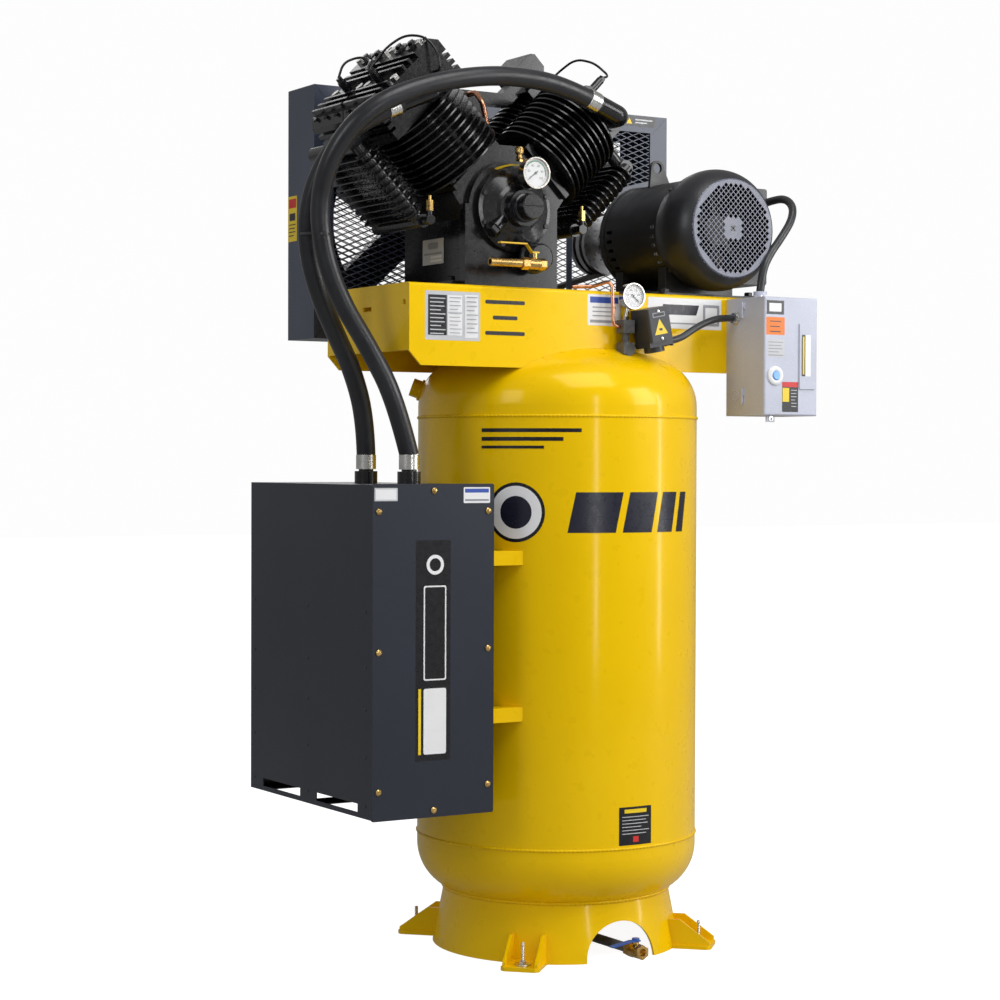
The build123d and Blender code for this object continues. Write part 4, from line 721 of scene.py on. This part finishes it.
def apron_labels():
    """Blank plates and films on the platform's front apron."""
    face = flat_place((-370.5, APRON_Y, 1346))
    plate = [("silver_film", box_shape(-65, -50, 65, 50, 3)), ("black_film", box_shape(-58, -40, -14, 42, 1)),
             ("white_film", box_shape(-12, 8, 22, 42)), ("white_film", box_shape(-12, -40, 22, 5)),
             ("white_film", box_shape(28, -44, 60, 44))]
    plate += print_lines("silver_film", -54, -18, 36, 10, 8, 2.2)
    plate += print_lines("grey_film", -9, 19, 38, 10, 8, 1.6)
    label("apron_data_plate", face, plate + print_lines("grey_film", 31, 57, 40, 9, 9, 2.4))
    face = flat_place((-245, APRON_Y, 1346))
    marks = [("black_film", box_shape(-48, 28, 48, 36, 3)), ("black_film", box_shape(-30, -4, 30, 4, 3)),
             ("black_film", box_shape(-48, -36, 48, -28, 3))]
    label("apron_plain_marks", face, marks)
    face = flat_place((1.5, APRON_Y, 1372))
    label("apron_round_label", face,
          [("white_film", box_shape(-42, -34, 42, 32, 3)), ("blue_film", box_shape(-36, 14, 36, 27)),
           ("grey_film", box_shape(-36, -28, 36, -22))] + print_lines("grey_film", -30, 30, 6, 3, 9, 2.4))
    face = flat_place((213, APRON_Y, 1370))
    label("apron_white_label", face,
          [("white_film", box_shape(-98, -32, 98, 34, 2)), ("navy_film", box_shape(-66, -2, 30, 20, 0, 8)),
           ("grey_film", box_shape(-66, -22, 30, -19)), ("grey_film", box_shape(48, -24, 92, 22, 2)),
           ("white_film", box_shape(54, -18, 86, 16, 2))])


def tank_labels():
    """Plain bars, a ring and a blank notice on the tank's wall."""
    wall = tank_place(-98, 944)
    bars = []
    u = -110.0
    for width in (104, 74, 48, 26):
        bars.append(("navy_film", box_shape(u, -42, u + width, 42, 0, 18)))
        u += width + 16
    label("tank_slanted_bars", wall, bars, strip=5)
    ring = tank_place(-139, 944)
    label("tank_ring", ring, [("black_film", disc_shape(0, 0, 62)), ("white_film", disc_shape(0, 0, 55)),
                              ("navy_film", disc_shape(0, 0, 34))], strip=5)
    upper = tank_place(-133.5, 1098)
    label("tank_upper_stripes", upper,
          [("black_film", box_shape(-108, 12, 108, 20)), ("black_film", box_shape(-108, -6, 70, 2)),
           ("black_film", box_shape(-108, -22, 30, -16))], strip=5)
    lower = tank_place(-89.5, 290)
    notice = [("black_film", box_shape(-41, -40, 41, 40, 2)), ("yellow_film", box_shape(-28, 27, 28, 35, 1)),
              ("red_film", box_shape(-7, -34, 7, -22))]
    label("tank_notice", lower, notice + print_lines("silver_film", -34, 34, 20, 6, 7, 1.6), strip=5)


def silencer_details():
    """Blank strip and labels on the silencer's cover, and rivets in its outer side."""
    face = flat_place((-452, SILENCER_Y, 670))
    strip = [("black_film", box_shape(-40, -221, 40, 221, 1.5)),
             ("white_film", box_shape(-22, -60, 30, 130, 4)), ("black_film", box_shape(-19, -57, 27, 127, 3)),
             ("white_film", box_shape(-22, -208, 30, -76, 4)),
             ("yellow_film", box_shape(-34, -208, -28, -76)),
             ("white_film", disc_shape(4, 172, 20)), ("black_film", disc_shape(4, 172, 13))]
    label("silencer_strip", face, strip)
    face = flat_place((-560, SILENCER_Y, 983))
    label("silencer_left_label", face, [("silver_film", box_shape(-26, -13, 26, 13, 1.5)),
                                        ("white_film", box_shape(-23, -10, 23, 10))])
    face = flat_place((-350, SILENCER_Y, 981))
    label("silencer_right_label", face, [("white_film", box_shape(-32, -16, 30, 16, 1.5)),
                                         ("blue_film", box_shape(-29, 5, 27, 13)),
                                         ("grey_film", box_shape(-29, -12, 27, -8))])
    bm = bmesh.new()
    for y in (297, 41.5, -213.8):
        for z in (749, 639, 555, 459, 362):
            lathe(bm, [(0, 1.7), (1.9, 1.5), (3.3, 0.7), (3.7, 0)], frame_at((-588.0, y, z), (-1, 0, 0)), 20)
    piece("silencer_rivets", bm, "silencer_paint")


def starter_details():
    """Blank films, a button ring, a knock-out and nuts on the starter."""
    front = flat_place((398.5, STARTER_PANEL_Y, 1278))
    low = flat_place((398.5, STARTER_Y, 1278))
    door = "starter_door"
    label("starter_plain_mark", low, [("black_film", box_shape(-67, 90, -20, 120, 1)),
                                      ("white_film", box_shape(-60, 96, -27, 114, 1))], door)
    label("starter_orange_label", low, [("orange_film", box_shape(-68, 46, -18, 84, 1))]
          + print_lines("black_film", -58, -28, 76, 3, 11, 2.0), door)
    label("starter_grey_label", low, [("silver_film", box_shape(-66, -2, -18, 36, 1))]
          + print_lines("grey_film", -62, -22, 31, 5, 7, 1.8), door)
    label("starter_side_strip", front, [("white_film", box_shape(27, -42, 52, 48, 1)),
                                        ("black_film", box_shape(27, -42, 37, 48)),
                                        ("yellow_film", box_shape(30, -38, 34, 44))], door)
    label("starter_notice", low, [("black_film", box_shape(-24, -120, 20, -55, 2)),
                                  ("red_film", box_shape(-24, -66, 20, -55, 1)),
                                  ("yellow_film", box_shape(-23, -98, -5, -68))]
          + print_lines("silver_film", 0, 16, -72, 6, 7, 1.5), door)
    x, z = 355.0, 1236.0
    bm = bmesh.new()
    ring = [(10.3, 4.5), (12, 5.4), (17, 5.2), (20, 3.4), (21, 0.2)]
    lathe(bm, ring, frame_at((x, STARTER_Y, z), (0, -1, 0)), 48)
    piece("starter_button_ring", bm, "white_film", door)
    bm = bmesh.new()
    lathe(bm, [(10, 0.2), (10.6, 0.9), (11.4, 0.9), (12, 0.2)], frame_at((326, -213, 1194), (-1, 0, 0)), 40)
    piece("starter_knockout", bm, "starter_paint")
    bm = bmesh.new()
    hex_head(bm, frame_at((326, -214, 1363), (-1, 0, 0)), 27, 5)
    hub = frame_at((391, -215, 1406))
    lathe(bm, [(9.2, 0), (19, 0), (19.5, 0.6), (19.5, 4.4), (19, 5), (9.2, 5)], hub, 40)
    hex_head(bm, frame_at((391, -215, 1411)), 27, 6)
    lathe(bm, [(8, 8), (13, 8), (13.5, 6), (13.5, 4)], frame_at((326, -214, 1363), (-1, 0, 0)), 32)
    lathe(bm, [(9.2, 18), (12, 17.5), (12.5, 16), (12.5, 11)], hub, 32)
    piece("starter_conduit_nuts", bm, "zinc_steel")
    bm = bmesh.new()
    eyelet = [(3, 0.3), (6, 0.4), (6.4, 1.6), (6, 2.6), (3, 2.7)]
    lathe(bm, eyelet, frame_at((352, -303.5, 1143), (0, -1, 0)), 24)
    piece("starter_hasp_eyelet", bm, "zinc_steel", door)


# ---- Tank ----
def ring_points(radius, z, count):
    """Points on a level circle about Z."""
    return [polar(radius, 2 * math.pi * index / count, z) for index in range(count)]


def tank_welds():
    """Rippled weld beads at the heads, the skirt and the upright seam."""
    bm = bmesh.new()
    for z in WELD_ZS:
        bead(bm, ring_points(TANK_R - 1.2, z, 640), 3.4)
    skirt_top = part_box("tank_skirt")[1].z / MM
    bead(bm, ring_points(247.0, skirt_top - 1.0, 480), 4.0)
    seam = math.radians(118)
    points = [polar(TANK_R - 1.4, seam, 250 + 6 * step) for step in range(149)]
    bead(bm, points, 3.2, closed=False)
    for port, out in COUPLINGS:
        along = frame_at(port, out)
        points = [along @ spot for spot in ring_points(21, 0.6, 60)]
        bead(bm, points, 3.0)
    piece("tank_weld_beads", bm, "tank_paint", flat_angle=80)


COUPLINGS = []
for azimuth, lift, sign, rim in ((148.5, 20.0, 1, 1168.0), (60.0, 10.0, -1, 219.0)):
    tilt, turn, knuckle = math.radians(lift), math.radians(azimuth), 0.173 * 2 * TANK_R
    reach = TANK_R - knuckle + knuckle * math.cos(tilt)
    at = polar(reach, turn, rim + sign * knuckle * math.sin(tilt))
    away = Vector((math.cos(tilt) * math.cos(turn), math.cos(tilt) * math.sin(turn), sign * math.sin(tilt)))
    COUPLINGS.append((at, away))


def foot_hardware():
    """Anchor studs with nuts and washers through the feet."""
    bm = bmesh.new()
    for quarter in range(4):
        turn = math.radians(45 + 90 * quarter)
        x, y, _ = polar(BOLT_CIRCLE_R, turn)
        washer = [(4.4, 8), (18, 8), (18.5, 8.5), (18.5, 10.5), (18, 11), (4.4, 11)]
        lathe(bm, washer, frame_at((x, y, 0)), 40)
        hex_head(bm, frame_at((x, y, 11)), 13, 7)
        rod(bm, (x, y, 0.5), (x, y, 56), 3.6, 20, 0.8)
        for step in range(27):
            z = 18.5 + step * 1.35
            lathe(bm, [(3.4, z), (4.0, z + 0.5), (3.4, z + 1.0)], frame_at((x, y, 0)), 16)
    piece("foot_anchor_studs", bm, "zinc_steel")


# ---- Pump ----
def pump_fasteners():
    """Bolts on the bearing cover, the cylinder flanges and the pump's feet."""
    bm = bmesh.new()
    for step in range(8):
        turn = math.radians(22.5 + 45 * step)
        at = (CRANK.x + 81 * math.cos(turn), -141.6, CRANK.z + 81 * math.sin(turn))
        hex_head(bm, frame_at(at, (0, -1, 0)), 11, 6)
    for x in (-118, 118):
        for y in (-80, 104):
            hex_head(bm, frame_at((CRANK.x + x, y, 1425)), 17, 9, 13)
    for side in (-1, 1):
        out = Vector((side * BANK, 0, BANK))
        for y0 in (-65, 75):
            for q in (-60, 60):
                for dy in (-54, 54):
                    across = Vector((side * BANK, 0, -BANK)) * q
                    at = CRANK + Vector((0, y0 + dy, 0)) + across + out * 130
                    hex_head(bm, frame_at(at, out), 15, 9)
    piece("pump_black_bolts", bm, "pump_paint")


def bank_spot(side, q, y, along):
    """A point in a bank: q outwards across it, along up the cylinder."""
    return Vector((CRANK.x + side * (along + q) * BANK, y, CRANK.z + (along - q) * BANK))


def head_details():
    """Port plugs and studs on the left bank's tall heads."""
    bm = bmesh.new()
    out = Vector((-BANK, 0, BANK))
    for middle in (-68.5, 77.0):
        for dy in (26, -26):
            at = bank_spot(-1, -78, middle + dy, 385.0)
            lathe(bm, [(0, 5.5), (10, 5.5), (12, 4), (17, 4), (17.5, 0)], frame_at(at, out), 32)
            hex_head(bm, frame_at(at + out * 5.0, out), 16, 8)
        for q in (-98, 98):
            for dy in (-46, 0, 46):
                at = bank_spot(-1, q, middle + dy, 369.0 if q > 0 else 382.0)
                hex_head(bm, frame_at(at, out), 10, 4.5)
    piece("head_plugs_and_studs", bm, "pump_paint")


def cooler_rings():
    """Round turned collars where the intercooler tubes meet their headers."""
    bm = bmesh.new()
    for side in (-1, 1):
        out = Vector((side * BANK, 0, BANK))
        for y in (-70.0, 95.0):
            for along in (132.5, 300.5):
                at = bank_spot(side, 153.0, y, along)
                collar = [(13, 0), (18, 0), (19, 1), (19, 4), (18, 5), (13, 5)]
                lathe(bm, collar, frame_at(at - out * 2.5, out), 32)
    piece("intercooler_collars", bm, "cooler_aluminium")


def pump_trim():
    """Breather, level plug, blank tag and nameplate of the pump."""
    bm = bmesh.new()
    base = Vector((-172.8, -118.0, 1675.5))
    up = frame_at(base)
    stem = [(0, 0), (6.5, 0), (6.5, 3), (5, 4), (5, 12), (7.4, 13), (7.4, 15), (5.2, 16), (5.2, 20)]
    lathe(bm, stem, up, 28)
    hex_head(bm, frame_at(base + Vector((0, 0, 4))), 14, 7)
    lathe(bm, [(5.2, 20), (8.2, 21), (8.6, 23), (8.6, 33), (8.0, 35.5), (5, 36.6), (0, 37)], up, 28)
    for step in range(14):
        turn = 2 * math.pi * step / 14
        at = base + polar(8.5, turn, 23.5)
        rod(bm, at, at + Vector((0, 0, 9)), 0.7, 8, 0.2)
    piece("breather", bm, "brass")
    bm = bmesh.new()
    start, end = Vector((-226, -147, 1560)), Vector((-268, -156, 1521))
    long = (end - start).length
    plug = [(0, 0), (17, 0), (17, 8), (14, 10), (14, long - 22), (15.5, long - 21), (15.5, long - 18),
            (12, long - 16), (12, long - 6), (10.5, long - 4), (0, long - 4)]
    lathe(bm, plug, frame_at(start, end - start), 32)
    hex_head(bm, frame_at(start + (end - start) * 0.74, end - start), 28, 12)
    piece("oil_level_plug", bm, "pump_paint")
    bm = bmesh.new()
    rows = []
    for step in range(9):
        share = step / 8
        lift = 5.0 * math.sin(share * math.pi)
        x, y, z = -256 + 62 * share, -152 - 12 * share, 1657 + 10 * share + lift
        rows.append([bm.verts.new((x, y - depth * 14, z - 4 * depth)) for depth in (0, 1)])
    for first, second in zip(rows, rows[1:]):
        bm.faces.new((first[0], second[0], second[1], first[1]))
    bmesh.ops.solidify(bm, geom=list(bm.faces), thickness=0.5)
    piece("pump_blank_tag", bm, "yellow_film")
    face = flat_place((-300.6, 24, 1495), (0, -1, 0))
    label("pump_nameplate", face, [
        ("silver_film", box_shape(-45, -27, 45, 27, 2)), ("grey_film", box_shape(-22, 6, 22, 20, 6)),
        ("grey_film", box_shape(-38, -6, 38, -2)), ("white_film", box_shape(-10, -14, 38, -9)),
        ("white_film", box_shape(-10, -22, 38, -17))])


def dial(name, centre, radius, body_face_y, zero, sweep, number_step, band=None):
    """A white dial with ticks, numbers and a coloured band, behind a clear cover.

    Angles run clockwise from straight up.
    """
    face = flat_place((centre[0], body_face_y, centre[1]))

    def arc(inner, outer, start, stop, steps):
        points = [(inner, start + (stop - start) * s / steps) for s in range(steps + 1)]
        points += [(outer, stop - (stop - start) * s / steps) for s in range(steps + 1)]
        return [(r * math.sin(math.radians(a)), r * math.cos(math.radians(a))) for r, a in points]

    layers = [("white_film", disc_shape(0, 0, radius))]
    marks = []
    if band:
        layers.append(("green_film", arc(radius * 0.80, radius * 0.90, band[0], band[1], 24)))
    for step in range(21):
        angle = zero + sweep * step / 20
        inner = 0.72 if step % 4 == 0 else 0.80
        marks.append(arc(radius * inner, radius * 0.92, angle - 0.9, angle + 0.9, 1))
    label(name, face, layers, lift=0.1)
    bm = bmesh.new()
    for outline in marks:
        bm.faces.new([bm.verts.new(face(u, v, 0.34)) for u, v in outline])
    piece(name + "_ticks", bm, "black_film")
    for step in range(0, 6):
        angle = math.radians(zero + sweep * step / 5)
        text = bpy.data.curves.new(f"{name}_number_{step}", "FONT")
        text.body = str(step * number_step)
        text.size = radius * 0.24 * MM
        text.align_x, text.align_y = "CENTER", "CENTER"
        spot = face(radius * 0.56 * math.sin(angle), radius * 0.56 * math.cos(angle), 0.34) * MM
        source = bpy.data.objects.new("number", text)
        bpy.context.scene.collection.objects.link(source)
        source.location = spot
        source.rotation_euler = (math.pi / 2, 0, 0)
        bpy.context.view_layer.update()
        mesh = bpy.data.meshes.new_from_object(source)
        mesh.transform(source.matrix_world)
        bpy.data.objects.remove(source)
        obj = bpy.data.objects.new(f"{name}_number_{step}", mesh)
        bpy.context.scene.collection.objects.link(obj)
        mesh.materials.clear()
        mesh.materials.append(FINISH["black_film"])
        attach(obj, ROOT)


def gauge_fronts():
    """Dials, rims and clear covers of the oil gauge and the tank gauge."""
    dial("oil_gauge_dial", (-181, 1648), 29.5, -194.0, -128, 256, 20, (-60, 100))
    dial("tank_gauge_dial", (54, 1401), 25.0, -212.0, -130, 260, 50)
    gauges = (("oil_gauge", (-181, 1648), 33.0, -200.0), ("tank_gauge", (54, 1401), 28.0, -217.0))
    for name, centre, radius, y in gauges:
        bm = bmesh.new()
        at = frame_at((centre[0], y, centre[1]), (0, -1, 0))
        lathe(bm, [(0, -1.2), (radius - 4, -1.2), (radius - 3.4, -2.0), (0, -2.0)], at, 56)
        piece(name + "_clear_cover", bm, "dial_cover")
        bm = bmesh.new()
        lathe(bm, [(radius - 3.6, -2.4), (radius - 3.2, -0.4), (radius - 1.4, 0.0), (radius - 0.2, -0.6),
                   (radius + 0.0, -3.0), (radius - 0.4, -3.6)], at, 56)
        piece(name + "_rolled_rim", bm, "gauge_case")


# ---- Hoses ----
def along_hose(points, back):
    """Point and direction on the last run of a hose, a distance back from its end."""
    end, before = Vector(points[-1]), Vector(points[-2])
    way = (end - before).normalized()
    return end - way * back, way


def hose_clamps():
    """Crimped ferrules at the hoses' ends and the tie that holds the two together."""
    bm = bmesh.new()
    for points, back, long in ((LEFT_HOSE, 34, 26), (RIGHT_HOSE, 36, 30)):
        at, way = along_hose(points, back)
        ribs = [(20.2, 0), (21.6, 0.6)]
        for step in range(4):
            z = 2 + step * (long - 4) / 3.6
            ribs += [(21.8, z), (21.8, z + 2.6), (21.1, z + 3.3), (21.1, z + 4.2)]
        ribs += [(21.6, long - 0.6), (20.2, long)]
        lathe(bm, ribs, frame_at(at, way), 40)
    piece("hose_top_ferrules", bm, "zinc_steel")
    bm = bmesh.new()
    centre = Vector((-640, -89, 1506))
    outline = []
    for step in range(48):
        turn = 2 * math.pi * step / 48
        outline.append(Vector((21.5 * math.cos(turn), 52 * math.sin(turn), 0)))
    lean = Matrix.Rotation(math.radians(4), 4, "X")
    rings = []
    for point in outline:
        spot = lean @ point
        way = spot.normalized()
        section = ((0, -2.4), (1.3, -2.4), (1.3, 2.4), (0, 2.4))
        ring = [centre + spot + way * w + Vector((0, 0, h)) for w, h in section]
        rings.append([bm.verts.new(v) for v in ring])
    for first, second in zip(rings, rings[1:] + rings[:1]):
        for side in range(4):
            after = (side + 1) % 4
            bm.faces.new((first[side], first[after], second[after], second[side]))
    piece("hose_tie", bm, "lever_black")


# ---- Motor ----
def motor_details():
    """Cover screws, cross slots, hold-down bolts and the box's conduit gland."""
    bm = bmesh.new()
    for step in range(4):
        turn = math.radians(45 + 90 * step)
        at = (MOTOR.x + 124.5 * math.cos(turn), -98, MOTOR.z + 124.5 * math.sin(turn))
        hex_head(bm, frame_at(at, (math.cos(turn), 0, math.sin(turn))), 9, 4)
    for x in (216, 446):
        for y in (-100, 110):
            hex_head(bm, frame_at((x, y, 1421)), 17, 8, 13)
    piece("motor_bolts", bm, "motor_paint")
    bm = bmesh.new()
    for turn in (0, 90):
        spin = Matrix.Rotation(math.radians(turn + 45), 4, "Z")
        lean = frame_at((MOTOR.x, -210.6, MOTOR.z), (0, -1, 0)) @ spin
        rounded_box(bm, (15, 3.6, 0.6), lean, 0.25, 1)
    piece("motor_cover_cross", bm, "black_film")
    bm = bmesh.new()
    box_port = frame_at((500, -70, 1634), (0, -1, 0))
    lathe(bm, [(9.1, 0), (14, 0), (14.5, 1), (14.5, 12), (12.5, 15), (9.1, 16)], box_port, 36)
    hex_head(bm, box_port, 28, 5)
    piece("terminal_box_gland", bm, "motor_paint")


# ---- Pressure switch ----
def switch_details():
    """Screw, recess and blank film on the pressure switch's cover."""
    lean = Matrix.Translation((90.0, -226.0, 1336.0)) @ Matrix.Rotation(math.radians(-11), 4, "Y")
    out = lean @ frame_at((0, -36, 4), (0, -1, 0), (1, 0, 0))

    def place(u, v, lift):
        return lean @ Vector((u, -36 - lift, 4 + v))

    label("switch_blank_film", place, [("yellow_film", [(-17, -21), (17, -21), (0, 12)]),
                                       ("black_film", box_shape(-4, -13, 4, -8))])
    label("switch_upper_mark", place, [("grey_film", box_shape(-16, 16, 16, 26, 1)),
                                       ("switch_plastic", box_shape(-14, 18, 14, 24, 1))])
    bm = bmesh.new()
    for up in (28, -30):
        lathe(bm, [(0, 2.2), (2, 2.2), (3.6, 1.4), (3.9, 0)], out @ Matrix.Translation((0, up, 0)), 24)
    piece("switch_cover_screws", bm, "zinc_steel")


def split_finish(node, finish, test):
    """Gives another finish to the faces of a CAD node whose centre (mm) passes a test."""
    mesh = frame["nodes"][node].data
    mesh.materials.append(FINISH[finish])
    index = len(mesh.materials) - 1
    for face in mesh.polygons:
        if test(face.center / MM):
            face.material_index = index


place_camera()
make_cords()
finish_cad_nodes()
split_finish("hose_fittings", "pump_paint", lambda at: at.z > 1100 or at.z < 1031)
split_finish("tank_fittings", "tank_paint", lambda at: at.z > 1100 and at.x < -100)
split_finish("oil_drain_valve", "pump_paint", lambda at: at.x < -190 and at.y > -200)
split_finish("relief_valves", "pump_paint", lambda at: at.z < 1564)
split_finish("switch_base", "switch_plastic", lambda at: at.x > 65)
# The fan cover's front faces get the lighter, bluer copy of the motor paint: a painted reflection.
split_finish("motor_fan_cover", "grille_paint", lambda at: at.y < -208)
split_finish("motor_rotor", "lever_black", lambda at: at.y < -100)
guard_panels()
apron_labels()
tank_labels()
silencer_details()
starter_details()
tank_welds()
foot_hardware()
pump_fasteners()
head_details()
cooler_rings()
pump_trim()
gauge_fronts()
hose_clamps()
motor_details()
switch_details()
make_studio()
